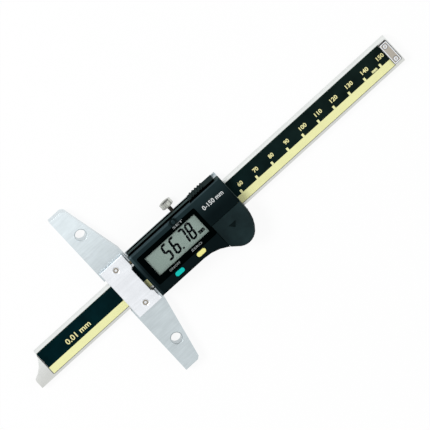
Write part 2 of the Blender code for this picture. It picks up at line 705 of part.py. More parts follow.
def make_lower_case():
    """Rear half of the housing: skirt, deck over the beam, board cavity and battery tray."""
    case = housing("lower_case", SKIRT_FLOOR, CASE_PARTING, CASE_EDGE, CASE_EDGE, CASE_EDGE,
                   black_plastic("case_plastic", 30))
    below = CASE_LOW - NOSE_RADIUS - FLANK_RADIUS
    tray_edge = -BATTERY_COVER_START + GAP
    cut(case, block("tray_space", (SEAM, below, -OVERRUN), (CASE_END + OVERRUN, tray_edge, FRONT_HEIGHT)))
    tray_top = FRONT_HEIGHT - BATTERY_COVER_TOP - GAP
    join(case, prism("tray", tray_plan(BATTERY_COVER_WALL + GAP), SKIRT_FLOOR + CASE_EDGE / 2, tray_top))
    cut(case, block("above_seam", (CASE_START - OVERRUN, below, CASE_PARTING),
                    (SEAM + GAP, CASE_HIGH + OVERRUN, FRONT_HEIGHT)),
        block("above_deck", (CASE_START - OVERRUN, -BATTERY_COVER_START, CASE_PARTING),
              (CASE_END + OVERRUN, CASE_HIGH + OVERRUN, FRONT_HEIGHT)),
        channel_cut("channel_of_case"),
        block("board_cavity", (CASE_START + CASE_WALL, CASE_LOW + CASE_WALL + SKIRT_EXTRA, DECK_TOP),
              (SEAM - CASE_WALL, CASE_HIGH - CASE_WALL, CASE_PARTING + OVERRUN)))
    for index, (x, y) in enumerate(case_screw_places()):
        join(case, rod("boss" + str(index), (x, y, DECK_TOP - DECK / 2), BOSS_DIAMETER / 2,
                       BOARD_FLOOR - GAP - DECK_TOP + DECK / 2))
        cut(case, rod("boss_hole" + str(index), (x, y, DECK_FLOOR - OVERRUN),
                      CASE_SCREW_SHANK / 2 + CASE_SCREW_CLEARANCE,
                      OVERRUN + CASE_SCREW_REACH + GAP - DECK_FLOOR))
    pocket_floor = CONTACT_FLOOR - GAP
    cut(case, rod("pocket", (NOSE_X, BATTERY_Y, pocket_floor), POCKET_RADIUS, FRONT_HEIGHT,
                  sides=2 * ROUND_SIDES),
        block("pocket_mouth", (NOSE_X - POCKET_RADIUS, NOSE_Y - NOSE_RADIUS - OVERRUN, pocket_floor),
              (NOSE_X + POCKET_RADIUS, NOSE_Y, FRONT_HEIGHT + OVERRUN)),
        plus_contact_space("plus_slot", GAP), port_space("port_recess"),
        socket_space("socket_recess", GAP), clamp_hole("clamp_hole_case"))
    return case


def tray_plan(inset):
    """The plan that fills the battery cover, with its wall and running gap left free."""
    line = [point for point in bulge(inset) if point[0] > SEAM + GAP and point[1] < CASE_LOW]
    right = CASE_END - inset
    inside = CASE_WALL - BATTERY_COVER_START
    return ([(SEAM - CASE_WALL, inside), (SEAM - CASE_WALL, line[0][1]), (SEAM + GAP, line[0][1])]
            + line + [(right, inside)])


def plus_contact_space(name, gap):
    """The upright contact beside the battery or, with a gap, its slot that opens into the pocket."""
    near = BATTERY_Y + BATTERY_DIAMETER / 2 + GAP
    half = CONTACT_WIDTH / 2 + gap
    slot = gap > 0
    return block(name, (NOSE_X - half, BATTERY_Y if slot else near, CONTACT_FLOOR + (0 if slot else GAP)),
                 (NOSE_X + half, near + CONTACT_THICKNESS + gap, FRONT_FLOOR + (OVERRUN if slot else 0)))


def port_space(name):
    """Room for the port cover and its way out past the end of the housing."""
    bm = bmesh.new()
    inner = FRAME_HALF
    add_block(bm, (PORT_START - GAP, inner, -OVERRUN),
              (CASE_END + OVERRUN, CASE_HIGH + OVERRUN, CASE_PARTING + OVERRUN))
    return add_object(name, bm, None)


def socket_space(name, gap):
    middle = (PORT_START + PORT_LENGTH / 2)
    half = SOCKET_LENGTH / 2 + gap
    low = DECK_TOP + SOCKET_MARGIN - gap
    return block(name, (middle - half, FRAME_HALF - SOCKET_DEPTH - gap, low),
                 (middle + half, FRAME_HALF + (OVERRUN if gap else -GAP), low + SOCKET_HEIGHT + 2 * gap))


def make_socket():
    connector = socket_space("output_connector", 0)
    connector.data.materials.append(black_plastic("connector_plastic", 20))
    middle = PORT_START + PORT_LENGTH / 2
    low = DECK_TOP + SOCKET_MARGIN
    gold = finish("contact_gold", (214, 178, 92), 0.3, 1.0)
    for index in range(PAD_COUNT):
        x = middle + (index - (PAD_COUNT - 1) / 2) * PAD_PITCH
        cut(connector, block("pad_slot" + str(index),
                             (x - PAD_WIDTH / 2 - GAP, FRAME_HALF - SOCKET_DEPTH / 2 - GAP,
                              low + SOCKET_MARGIN - GAP),
                             (x + PAD_WIDTH / 2 + GAP, FRAME_HALF + OVERRUN,
                              low + SOCKET_HEIGHT - SOCKET_MARGIN + GAP)))
        block(f"output_contact_{index + 1}",
              (x - PAD_WIDTH / 2, FRAME_HALF - SOCKET_DEPTH / 2, low + SOCKET_MARGIN),
              (x + PAD_WIDTH / 2, FRAME_HALF - 2 * GAP, low + SOCKET_HEIGHT - SOCKET_MARGIN), gold)


def make_port_cover():
    """Ribbed plate with a lip over the connector. It slides off along the housing."""
    inner = FRAME_HALF + GAP
    outer = inner + PORT_THICKNESS
    profile = [(inner, SKIRT_FLOOR), (outer, SKIRT_FLOOR), (outer, PORT_HEIGHT),
               (inner - PORT_LIP, PORT_HEIGHT), (inner - PORT_LIP, PORT_HEIGHT - PORT_LIP_THICKNESS),
               (inner, PORT_HEIGHT - PORT_LIP_THICKNESS)]
    bm = bmesh.new()
    verts = [bm.verts.new((PORT_START, y, z)) for y, z in profile]
    grown = bmesh.ops.extrude_face_region(bm, geom=[bm.faces.new(verts)])
    far = [item for item in grown["geom"] if isinstance(item, bmesh.types.BMVert)]
    bmesh.ops.translate(bm, verts=far, vec=(PORT_LENGTH, 0, 0))
    cover = add_object("port_cover", bm, black_plastic("port_plastic", 40))
    for index in range(PORT_RIBS):
        x = PORT_START + PORT_RIB_START + index * PORT_RIB_PITCH
        join(cover, block("port_rib" + str(index), (x, outer - PORT_THICKNESS / 2, SKIRT_FLOOR + PORT_LIP),
                          (x + PORT_RIB_WIDTH, outer + PORT_RIB_HEIGHT, PORT_HEIGHT - PORT_LIP)))
    soften(cover, EDGE_ROUND, 1)


def make_bezel():
    """Front half of the housing with the window seat and the button holes."""
    bezel = housing("front_bezel", FRONT_FLOOR, FRONT_HEIGHT, FRONT_LOW_EDGE, FRONT_EDGE, 0.0,
                    black_plastic("bezel_plastic", 28))
    cut(bezel, block("battery_cover_space", (SEAM, NOSE_Y - NOSE_RADIUS - OVERRUN, 0),
                     (CASE_END + OVERRUN, -BATTERY_COVER_START + GAP, FRONT_HEIGHT + OVERRUN)))
    cut(bezel, block("inside", (CASE_START + CASE_WALL, CASE_LOW + CASE_WALL + SKIRT_EXTRA, 0),
                     (SEAM - CASE_WALL, CASE_HIGH - CASE_WALL, CAVITY_TOP)),
        prism("window_pocket", rectangle(WINDOW_LEFT - GAP, WINDOW_RIGHT + GAP, WINDOW_LOW - GAP,
                                         WINDOW_HIGH + GAP, WINDOW_CORNER + GAP),
              WINDOW_FLOOR - GAP, FRONT_HEIGHT + OVERRUN),
        block("window_hole", (LCD_LEFT - GAP, LCD_LOW - GAP, 0),
              (LCD_RIGHT + GAP, LCD_HIGH + GAP, FRONT_HEIGHT)),
        block("port_edge", (PORT_START - GAP, CASE_HIGH - PORT_SET_BACK, 0),
              (CASE_END + OVERRUN, CASE_HIGH + OVERRUN, FRONT_HEIGHT + OVERRUN)),
        block("port_groove", (PORT_START - GAP, FRAME_HALF - PORT_LIP, 0),
              (CASE_END + OVERRUN, CASE_HIGH + OVERRUN, PORT_HEIGHT + GAP)))
    cut(bezel, block("side_groove", (CASE_START - OVERRUN, CASE_HIGH - GROOVE_DEPTH, 0),
                     (PORT_START, CASE_HIGH + OVERRUN, FRONT_FLOOR + GROOVE_HEIGHT)))
    for name, x in (("power", POWER_PLACE), ("zero", ZERO_PLACE)):
        cut(bezel, prism(name + "_hole", pill(x, PILL_CENTRE, PILL_LENGTH + 2 * GAP, PILL_WIDTH + 2 * GAP),
                         0, FRONT_HEIGHT + OVERRUN))
    cut(bezel, rod("set_dish", (SET_PLACE, SET_CENTRE, FRONT_HEIGHT - DISH_DEPTH), DISH_DIAMETER / 2,
                   OVERRUN),
        rod("set_hole", (SET_PLACE, SET_CENTRE, 0), SET_DIAMETER / 2 + SET_CLEARANCE,
            FRONT_HEIGHT + OVERRUN))


def make_battery_cover():
    """A shell that wraps the battery tray. It slides off away from the beam."""
    cover = housing("battery_cover", SKIRT_FLOOR, FRONT_HEIGHT, FRONT_LOW_EDGE, FRONT_EDGE, 0.0,
                    black_plastic("cover_plastic", 34))
    cut(cover, block("outside_left", (CASE_START - OVERRUN, CASE_LOW * 2, -OVERRUN),
                     (BATTERY_COVER_LEFT, CASE_HIGH + OVERRUN, FRONT_HEIGHT + OVERRUN)),
        block("outside_top", (CASE_START - OVERRUN, -BATTERY_COVER_START, -OVERRUN),
              (CASE_END + OVERRUN, CASE_HIGH + OVERRUN, FRONT_HEIGHT + OVERRUN)))
    inner = [(SEAM - CASE_LENGTH / 2, CASE_LOW / 2), (SEAM - CASE_LENGTH / 2, CASE_LOW + BATTERY_COVER_WALL)]
    inner += bulge(BATTERY_COVER_WALL) + [(CASE_END - BATTERY_COVER_WALL, CASE_HIGH),
                                          (SEAM - CASE_LENGTH / 2, CASE_HIGH)]
    cut(cover, prism("cover_inside", inner, -OVERRUN, FRONT_HEIGHT - BATTERY_COVER_TOP),
        channel_cut("channel_of_battery_cover"))
    arrow_y = CASE_LOW + ARROW_PLACE
    arrow = [(NOSE_X - ARROW_WIDTH / 2, arrow_y), (NOSE_X, arrow_y - ARROW_LENGTH),
             (NOSE_X + ARROW_WIDTH / 2, arrow_y)]
    cut(cover, prism("arrow", arrow, FRONT_HEIGHT - ARROW_DEPTH, FRONT_HEIGHT + OVERRUN))


def make_battery():
    battery = rod("battery", (NOSE_X, BATTERY_Y, BATTERY_FLOOR), BATTERY_DIAMETER / 2, BATTERY_HEIGHT,
                  material=finish("battery_steel", (190, 190, 186), 0.3, 1.0), sides=2 * ROUND_SIDES)
    soften(battery, EDGE_ROUND, 2)
    rod("battery_contact_minus", (NOSE_X, BATTERY_Y, CONTACT_FLOOR), CONTACT_WIDTH / 2,
        CONTACT_THICKNESS, material=finish("contact_nickel", (196, 192, 180), 0.3, 1.0))
    plus = plus_contact_space("battery_contact_plus", 0)
    plus.data.materials.append(finish("contact_bronze", (200, 176, 130), 0.35, 1.0))


def make_display():
    prism("display_window", rectangle(WINDOW_LEFT, WINDOW_RIGHT, WINDOW_LOW, WINDOW_HIGH, WINDOW_CORNER),
          WINDOW_FLOOR, WINDOW_TOP, finish("window_gloss", (10, 12, 13), 0.08))
    block("lcd_panel", (LCD_LEFT, LCD_LOW, LCD_FLOOR), (LCD_RIGHT, LCD_HIGH, LCD_TOP),
          finish("lcd_glass", (150, 158, 146), 0.15))
    holder = block("lcd_holder", (LCD_LEFT, LCD_LOW, HOLDER_FLOOR), (LCD_RIGHT, LCD_HIGH, HOLDER_TOP),
                   finish("holder_plastic", (226, 226, 220), 0.6))
    zebra_rubber = finish("zebra_rubber", (60, 60, 62), 0.7)
    for index, edge in enumerate((LCD_LOW + ZEBRA_INSET, LCD_HIGH - ZEBRA_INSET - ZEBRA_WIDTH)):
        low = (LCD_LEFT + ZEBRA_INSET, edge, HOLDER_FLOOR)
        high = (LCD_RIGHT - ZEBRA_INSET, edge + ZEBRA_WIDTH, HOLDER_TOP)
        block(f"zebra_connector_{index + 1}", low, high, zebra_rubber)
        cut(holder, block("zebra_slot" + str(index), (low[0] - GAP, low[1] - GAP, low[2] - OVERRUN),
                          (high[0] + GAP, high[1] + GAP, high[2] + OVERRUN)))
    board_low = CASE_LOW + CASE_WALL + SKIRT_EXTRA + GAP
    board_high = CASE_HIGH - CASE_WALL - GAP
    block("circuit_board", (BOARD_LEFT, board_low, BOARD_FLOOR),
          (BOARD_RIGHT, board_high, BOARD_TOP), finish("board_green", (32, 92, 56), 0.5))
    half = (CHANNEL_HALF - GAP)
    block("detector_plate", (BOARD_LEFT, -half, BEAM_TOP + GAP),
          (BOARD_RIGHT - DETECTOR_SET_BACK, half, BEAM_TOP + GAP + DETECTOR_THICKNESS),
          finish("detector_board", (44, 84, 62), 0.5))
    chip_x = BOARD_LEFT + CHIP_PLACE
    block("processor_chip", (chip_x, -CHIP_SIZE / 2, BOARD_FLOOR - GAP - CHIP_HEIGHT),
          (chip_x + CHIP_SIZE, CHIP_SIZE / 2, BOARD_FLOOR - GAP), black_plastic("chip_resin", 18))


def make_buttons():
    """Three capped buttons held by flanges behind the front, over snap domes on the board."""
    flange_top = CAVITY_TOP - GAP
    flange_floor = flange_top - FLANGE_THICKNESS
    foot = BOARD_TOP + GAP + DOME_HEIGHT + BUTTON_TRAVEL + GAP
    dome_steel = finish("dome_steel", (200, 200, 196), 0.25, 1.0)
    pills = (("power_button", POWER_PLACE, (38, 190, 186)), ("zero_button", ZERO_PLACE, (232, 226, 150)))
    for number, (name, x, colour) in enumerate(pills, 1):
        button = prism(name, pill(x, PILL_CENTRE, PILL_LENGTH, PILL_WIDTH), flange_floor,
                       FRONT_HEIGHT + BUTTON_RISE, finish(name + "_plastic", colour, 0.45))
        grow = 2 * (GAP + FLANGE)
        join(button, prism(name + "_flange", pill(x, PILL_CENTRE, PILL_LENGTH + grow, PILL_WIDTH + grow),
                           flange_floor, flange_top),
             rod(name + "_stem", (x, PILL_CENTRE, foot), PILL_WIDTH / 3,
                 flange_floor - foot + FLANGE_THICKNESS / 2))
        dome(number, x, PILL_CENTRE, dome_steel)
    set_top = FRONT_HEIGHT - DISH_DEPTH + DISH_DEPTH / 2
    button = rod("set_button", (SET_PLACE, SET_CENTRE, flange_floor), SET_DIAMETER / 2,
                 set_top - flange_floor, material=black_plastic("set_button_plastic", 34))
    reach = SET_DIAMETER / 2
    join(button, block("set_flange", (SET_PLACE - reach, SET_CENTRE - 2 * reach - FLANGE, foot),
                       (SET_PLACE + reach, SET_CENTRE - reach / 2, flange_top)))
    dome(len(pills) + 1, SET_PLACE, SET_CENTRE, dome_steel)


def dome(number, x, button_centre, material):
    """A snap dome on the board, under a button."""
    rod(f"switch_dome_{number}", (x, dome_centre(button_centre), BOARD_TOP + GAP), DOME_DIAMETER / 2,
        DOME_HEIGHT, top_radius=DOME_DIAMETER / 4, material=material)


def dome_centre(button_centre):
    """A dome keeps inside the edge of the board."""
    room = CASE_HIGH - CASE_WALL - 2 * GAP - DOME_DIAMETER / 2
    return max(-room, min(room, button_centre))


def place_origins():
    """Puts the origin of each moving piece on the line along which it moves or turns."""
    beam_line = (TIP, BEAM_CENTRE, CLAMP_HEIGHT)
    clamp_line = (CLAMP_PLACE, GIB_HIGH, CLAMP_HEIGHT)
    lines = {name: beam_line for name in ("beam", "scale_substrate", "scale_label", "stop_plate",
                                          "stop_screw_1", "stop_screw_2")}
    lines |= {name: clamp_line for name in ("gib", "clamp_pad", "clamp_screw")}
    lines["power_button"] = (POWER_PLACE, PILL_CENTRE, FRONT_HEIGHT)
    lines["zero_button"] = (ZERO_PLACE, PILL_CENTRE, FRONT_HEIGHT)
    lines["set_button"] = (SET_PLACE, SET_CENTRE, FRONT_HEIGHT)
    lines["battery_cover"] = (NOSE_X, NOSE_Y, FRONT_HEIGHT)
    lines["port_cover"] = (PORT_START, CASE_HIGH, PORT_HEIGHT)
    for name, place in lines.items():
        piece = bpy.data.objects[name]
        piece.data.transform(Matrix.Translation(-Vector(place)))
        piece.location = place


def clear_scene():
    for obj in list(bpy.data.objects):
        bpy.data.objects.remove(obj)


def main():
    clear_scene()
    make_base()
    make_cover()
    make_beam()
    make_gib()
    make_clamp_screw()
    make_frame()
    make_lower_case()
    make_socket()
    make_port_cover()
    make_bezel()
    make_battery_cover()
    make_battery()
    make_display()
    make_buttons()
    place_origins()


main()
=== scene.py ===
"""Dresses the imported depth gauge: printing, display, buttons, screws and finishes, in a studio."""
import math

import bmesh
import bpy
from mathutils import Matrix, Vector


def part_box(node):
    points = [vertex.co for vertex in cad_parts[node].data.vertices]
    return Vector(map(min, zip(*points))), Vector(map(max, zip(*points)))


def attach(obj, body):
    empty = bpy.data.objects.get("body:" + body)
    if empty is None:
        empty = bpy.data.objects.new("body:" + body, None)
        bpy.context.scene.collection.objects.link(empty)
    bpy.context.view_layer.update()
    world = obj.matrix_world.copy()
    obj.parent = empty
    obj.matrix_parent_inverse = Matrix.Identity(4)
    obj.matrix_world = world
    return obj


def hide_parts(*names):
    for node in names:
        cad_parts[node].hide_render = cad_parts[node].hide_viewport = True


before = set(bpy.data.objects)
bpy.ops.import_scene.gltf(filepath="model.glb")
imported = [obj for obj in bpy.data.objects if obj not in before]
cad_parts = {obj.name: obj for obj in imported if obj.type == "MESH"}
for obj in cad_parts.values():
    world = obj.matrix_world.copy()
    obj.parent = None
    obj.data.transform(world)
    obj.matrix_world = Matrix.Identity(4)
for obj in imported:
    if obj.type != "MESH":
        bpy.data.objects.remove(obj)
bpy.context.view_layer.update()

bl_info = {
    "name": "Depth gauge dressing",
    "version": (1, 0, 0),
    "blender": (4, 5, 0),
    "location": "View3D > Sidebar > Depth gauge",
    "description": "Finishes, printing and studio of a digital depth gauge",
    "category": "Object",
}

MM = 0.001
X_AXIS = Vector((1, 0, 0))
Y_AXIS = Vector((0, 1, 0))
Z_AXIS = Vector((0, 0, 1))
ROUND = 32  # sides of a round piece
NOISE = {"From Min": 0.3, "From Max": 0.7}  # what most of a noise lies between


def srgb(red, green, blue):
    """A colour of 0 to 255 as it is seen, as the shaders' linear colour."""
    shares = [value / 255 for value in (red, green, blue)]
    return tuple(s / 12.92 if s <= 0.04045 else ((s + 0.055) / 1.055) ** 2.4 for s in shares)


def length(name, description, millimetres):
    return bpy.props.FloatProperty(name=name, description=description, default=millimetres * MM,
                                   unit="LENGTH", precision=5)


def share(name, description, value):
    return bpy.props.FloatProperty(name=name, description=description, default=value)


def angle(name, description, degrees):
    return bpy.props.FloatProperty(name=name, description=description,
                                   default=math.radians(degrees), subtype="ANGLE")


def colour(name, description, *rgb):
    return bpy.props.FloatVectorProperty(name=name, description=description, subtype="COLOR",
                                         size=3, default=srgb(*rgb), min=0, max=1)


class GaugeFinish(bpy.types.PropertyGroup):
    """Colours of the gauge's metals, plastics and inks, and of painted light and shade."""
    ground: colour("Ground steel", "Base and slider frame", 200, 209, 213)
    beam: colour("Beam steel", "Ground faces of the beam", 226, 229, 227)
    bright: colour("Bright steel", "Cover plate, stop plate's rim and cell", 228, 231, 235)
    dark_metal: colour("Dark steel", "Small screws", 118, 118, 120)
    brass: colour("Brass", "Gib and clamp pad", 140, 130, 102)
    pin: colour("Pin steel", "Ring of the cover plate's pins", 140, 133, 120)
    gold: colour("Gold", "Contacts", 214, 176, 92)
    housing: colour("Housing", "Moulded black plastic", 30, 44, 47)
    # Painted light: the back's grey, lighter than the housing, stands for the light on the housing's
    # side.
    back: colour("Back", "Lower half of the housing", 66, 80, 79)
    cover: colour("Battery cover", "Cover of the cell", 26, 40, 42)
    window: colour("Window border", "Border of the display", 1, 4, 4)
    crystal: colour("Display", "Ground of the display", 150, 168, 160)
    digit: colour("Digits", "Segments that are switched on", 1, 4, 8)
    label: colour("Scale label", "Black film of the scale", 2, 26, 30)
    band: colour("Scale band", "Pale band and graduations", 232, 232, 172)
    numbers: colour("Scale numbers", "Numbers of the scale", 230, 224, 162)
    lettering: colour("Lettering", "Words on the housing", 206, 210, 210)
    power: colour("Power button", "Teal pill", 10, 186, 176)
    zero: colour("Zero button", "Cream pill", 232, 228, 142)
    white: colour("White plastic", "Display holder", 226, 226, 222)
    board: colour("Circuit board", "Solder mask", 22, 84, 50)
    port: colour("Port cover", "Ribbed black cover", 40, 50, 50)
    caption: colour("Captions", "Words beside the buttons", 150, 156, 156)
    # Painted shade: a dark fill for the sunk arrow and for the dish round the set button.
    arrow: colour("Arrow", "Battery cover's arrow, and the dish's floor", 15, 24, 25)
    field: colour("Stop plate field", "Etched middle of the stop plate", 168, 162, 152)
    # Painted shade of the gaps round the stop plate and its screws; also the clamp's dark stem.
    edge: colour("Edge", "Gaps at the stop plate, and the clamp's stem", 62, 58, 54)
    knurl: colour("Knurled steel", "Clamp screw", 190, 192, 186)
    # Painted shade along the housing's parting line and at the foot of its side.
    groove_drop: length("Groove drop", "Shade under the housing's parting line", 2.9)
    groove_rise: length("Groove rise", "Shade over the housing's parting line", 1.4)
    foot_rise: length("Foot shade", "Dark foot of the housing's side", 3.7)
    # Painted highlight along the housing's edges.
    ridge: length("Edge highlight", "Width of the housing's painted edge highlight", 1.1)
    groove_depth: length("Groove depth", "Reach of the shade into the housing", 0.62)


class GaugePrint(bpy.types.PropertyGroup):
    """Sizes of the printing on the beam."""
    ink: length("Ink", "Thickness of the printing", 0.03)
    zero_place: length("Zero graduation", "From the beam's tip to the graduation 0", 74.8)
    last: bpy.props.IntProperty(name="Last graduation", description="Largest number", default=150)
    pitch: bpy.props.IntProperty(name="Pitch", description="Between graduations, in mm", default=10)
    band_share: share("Band share", "Width of the band as a share of the label's", 0.296)
    tick_width: length("Graduation width", "Along the beam", 1.15)
    tick_reach: length("Graduation reach", "Across the beam, beyond the band", 1.75)
    number_height: length("Number height", "Height of the scale's numbers", 2.2)
    number_start: length("Number start", "From the band to the foot of the numbers", 3.1)
    number_step: length("Number offset", "From a graduation to its number", 0.65)
    bold: share("Bold", "Thickening of the scale's figures", 0.03)
    digit_width: length("Figure width", "Width of one figure of the scale", 1.36)


class GaugeDisplay(bpy.types.PropertyGroup):
    """Sizes of the window and its reading."""
    margin_left: length("Left border", "Border of the window towards the tip", 2.88)
    margin_right: length("Right border", "Border of the window towards the stop", 1.85)
    margin_low: length("Lower border", "Border under the display", 3.0)
    margin_high: length("Upper border", "Border over the display", 2.3)
    digit_height: length("Digit height", "Height of the reading", 8.95)
    digit_width: length("Digit width", "Width of one digit", 3.7)
    stroke: length("Stroke", "Width of a segment", 1.16)
    slant: angle("Slant", "Lean of the digits", 8)


class GaugeStudio(bpy.types.PropertyGroup):
    """Camera, lamps and floor."""
    tilt: angle("Tilt", "Lean of the camera across the beam", 15)
    lean: angle("Lean", "Lean of the camera along the beam", 2.7)
    turn: angle("Turn", "Angle of the beam in the picture", 42.15)
    distance: length("Distance", "From the camera to the gauge", 6000)
    width: length("Field", "Width of the picture at the gauge", 206.7)
    centre_along: length("Centre along", "Middle of the picture along the beam", 53.95)
    centre_across: length("Centre across", "Middle of the picture across the beam", -2.3)
    centre_height: length("Centre height", "Height of the middle of the picture", 6.5)
    daylight: share("Daylight", "Strength of the world on the object", 0.6)
    key: share("Key lamp", "Power of the main lamp", 15.0)
    key_size: length("Key size", "Width of the main lamp", 600)
    fill: share("Fill lamp", "Power of the second lamp", 5.0)
    fill_size: length("Fill size", "Width of the second lamp", 1600)
    floor_glow: share("Floor white", "Share of plain white in the floor as it is seen", 0.9)


GROUPS = {"gauge_finish": GaugeFinish, "gauge_print": GaugePrint, "gauge_display": GaugeDisplay,
          "gauge_studio": GaugeStudio}


def add_node(tree, kind, feeds=None, **settings):
    """Adds a shader node. Feeds gives an input its value, or the socket that is linked to it."""
    node = tree.nodes.new("ShaderNode" + kind)
    for name, value in settings.items():
        setattr(node, name, value)
    for key, feed in (feeds or {}).items():
        if isinstance(feed, bpy.types.NodeSocket):
            tree.links.new(feed, node.inputs[key])
        else:
            node.inputs[key].default_value = feed
    return node


def compute(tree, operation, first, second):
    """The result of a Math node on two values or sockets."""
    return add_node(tree, "Math", {0: first, 1: second}, operation=operation).outputs[0]


def new_group(name, inputs, outputs):
    """A node group that works on a place, with its other sockets given as names and kinds."""
    tree = bpy.data.node_groups.new(name, "ShaderNodeTree")
    enter, leave = tree.nodes.new("NodeGroupInput"), tree.nodes.new("NodeGroupOutput")
    for way, sockets in (("INPUT", {"Place": "Vector", **inputs}), ("OUTPUT", outputs)):
        for label, kind in sockets.items():
            tree.interface.new_socket(label, in_out=way, socket_type="NodeSocket" + kind)
    return tree, enter.outputs, leave.inputs


def tone_group():
    """Two colours mixed by slow and fast noise, so that no surface is one flat colour."""
    tree, given, out = new_group(
        "Uneven tone", {"Scale": "Float", "First": "Color", "Second": "Color"},
        {"Colour": "Color", "Mask": "Float"})
    noise = add_node(tree, "TexNoise", {"Vector": given["Place"], "Scale": given["Scale"],
                                        "Detail": 4, "Roughness": 0.6})
    mask = add_node(tree, "MapRange", {"Value": noise.outputs["Fac"], **NOISE}).outputs["Result"]
    mix = add_node(tree, "Mix", {"Factor": mask, "A": given["First"], "B": given["Second"]},
                   data_type="RGBA")
    tree.links.new(mix.outputs["Result"], out["Colour"])
    tree.links.new(mask, out["Mask"])


def lay_group():
    """Long thin streaks such as a grinding wheel leaves, as a mask."""
    tree, given, out = new_group("Grinding lay", {"Stretch": "Vector", "Scale": "Float"},
                                 {"Lay": "Float"})
    turn = add_node(tree, "Mapping", {"Vector": given["Place"], "Scale": given["Stretch"]})
    noise = add_node(tree, "TexNoise", {"Vector": turn.outputs["Vector"],
                                        "Scale": given["Scale"], "Detail": 3})
    tree.links.new(noise.outputs["Fac"], out["Lay"])


def skin_group():
    """Fine pebbled skin of moulded plastic, as a normal."""
    tree, given, out = new_group("Moulded skin", {"Scale": "Float", "Strength": "Float"},
                                 {"Normal": "Vector"})
    cells = add_node(tree, "TexVoronoi", {"Vector": given["Place"], "Scale": given["Scale"]},
                     feature="SMOOTH_F1")
    bump = add_node(tree, "Bump", {"Height": cells.outputs["Distance"], "Distance": 0.05 * MM,
                                   "Strength": given["Strength"]})
    tree.links.new(bump.outputs["Normal"], out["Normal"])


def drift_group():
    """A tint that goes over slowly from one to another along a direction."""
    tree, given, out = new_group(
        "Slow drift", {"Direction": "Vector", "Start": "Float", "End": "Float", "Near": "Color",
                       "Far": "Color"}, {"Tint": "Color"})
    reach = add_node(tree, "VectorMath", {0: given["Place"], 1: given["Direction"]},
                     operation="DOT_PRODUCT")
    bounds = {"From Min": given["Start"], "From Max": given["End"]}
    spread = add_node(tree, "MapRange", {"Value": reach.outputs["Value"], **bounds},
                      interpolation_type="SMOOTHSTEP")
    mix = add_node(tree, "Mix", {"Factor": spread.outputs["Result"], "A": given["Near"],
                                 "B": given["Far"]}, data_type="RGBA")
    tree.links.new(mix.outputs["Result"], out["Tint"])


def groove_group():
    """A mask that is 0 between two heights, beyond a place across the beam, and 1 elsewhere."""
    tree, given, out = new_group("Painted groove shade", {"Low": "Float", "High": "Float", "Beyond": "Float"},
                                 {"Open": "Float"})
    place = add_node(tree, "SeparateXYZ", {0: given["Place"]}).outputs
    above = compute(tree, "GREATER_THAN", place["Z"], given["Low"])
    below = compute(tree, "LESS_THAN", place["Z"], given["High"])
    beyond = compute(tree, "GREATER_THAN", place["Y"], given["Beyond"])
    inside = compute(tree, "MULTIPLY", compute(tree, "MULTIPLY", above, below), beyond)
    tree.links.new(compute(tree, "SUBTRACT", 1.0, inside), out["Open"])


class Finish:
    """A material with its shader, fed by shared groups on the object's own coordinates."""

    def __init__(self, name):
        self.material = bpy.data.materials.new(name)
        self.material.use_nodes = True
        self.tree = self.material.node_tree
        self.shader = self.tree.nodes["Principled BSDF"]
        self.place = add_node(self.tree, "TexCoord").outputs["Object"]

    def use(self, name, **values):
        """Places a shared group, and gives its outputs."""
        return add_node(self.tree, "Group", {"Place": self.place, **values},
                        node_tree=bpy.data.node_groups[name]).outputs

    def feed(self, name, source):
        self.tree.links.new(source, self.shader.inputs[name])

    def tone(self, rgb, change, scale):
        """Feeds a colour that varies a little over the surface, and gives its mask."""
        first, second = (tuple(min(1.0, value * factor) for value in rgb) + (1.0,)
                         for factor in (1 - change, 1 + change))
        tone = self.use("Uneven tone", Scale=scale, First=first, Second=second)
        self.feed("Base Color", tone["Colour"])
        return tone["Mask"]

    def multiply(self, factor):
        """Multiplies the colour by another colour or a mask."""
        source = self.shader.inputs["Base Color"].links[0].from_socket
        mix = add_node(self.tree, "Mix", {"Factor": 1.0, "A": source, "B": factor},
                       data_type="RGBA", blend_type="MULTIPLY")
        self.feed("Base Color", mix.outputs["Result"])

    def roughen(self, mask, smooth, rough):
        """Spreads a mask between two roughnesses."""
        spread = add_node(self.tree, "MapRange", {"Value": mask, "To Min": smooth, "To Max": rough})
        self.feed("Roughness", spread.outputs["Result"])

    def tint(self, axis, start, end, near, far):
        """Tints the colour slowly along an axis."""
        self.multiply(self.use("Slow drift", Direction=axis, Start=start, End=end,
                               Near=(*near, 1.0), Far=(*far, 1.0))["Tint"])

    def groove(self, low, high, beyond):
        """Blackens the colour between two heights, beyond a place across the beam, as painted shade.
        """
        self.multiply(self.use("Painted groove shade", Low=low, High=high, Beyond=beyond)["Open"])


def metal(name, rgb, smooth, rough, stretch, scale=900.0, depth=0.12, streak=0.03):
    """Ground or turned metal: streaked tone, two bounds of roughness, and a shallow lay."""
    made = Finish(name)
    made.shader.inputs["Metallic"].default_value = 1.0
    made.tone(rgb, change=0.035, scale=160.0)
    lay = made.use("Grinding lay", Stretch=stretch, Scale=scale)["Lay"]
    spread = add_node(made.tree, "MapRange", {"Value": lay, "To Min": 1 - streak,
                                              "To Max": 1 + streak, **NOISE})
    made.multiply(spread.outputs["Result"])
    made.roughen(lay, smooth, rough)
    bump = add_node(made.tree, "Bump", {"Height": lay, "Distance": 0.01 * MM, "Strength": depth})
    made.feed("Normal", bump.outputs["Normal"])
    return made


def plastic(name, rgb, smooth, rough, grain, gloss, change=0.12):
    """Moulded plastic or ink: uneven tone, two bounds of roughness, pebbled skin and gloss."""
    made = Finish(name)
    made.shader.inputs["Specular IOR Level"].default_value = gloss
    made.roughen(made.tone(rgb, change, scale=120.0), smooth, rough)
    made.feed("Normal", made.use("Moulded skin", Scale=2500.0, Strength=grain)["Normal"])
    return made


def glass(name):
    """Clear window over the display, which lets the lamps through."""
    made = Finish(name)
    made.tone(srgb(20, 26, 24), change=0.1, scale=100.0)
    made.shader.inputs["Alpha"].default_value = 0.06
    made.shader.inputs["Roughness"].default_value = 0.06
    return made


FINISHES = {}


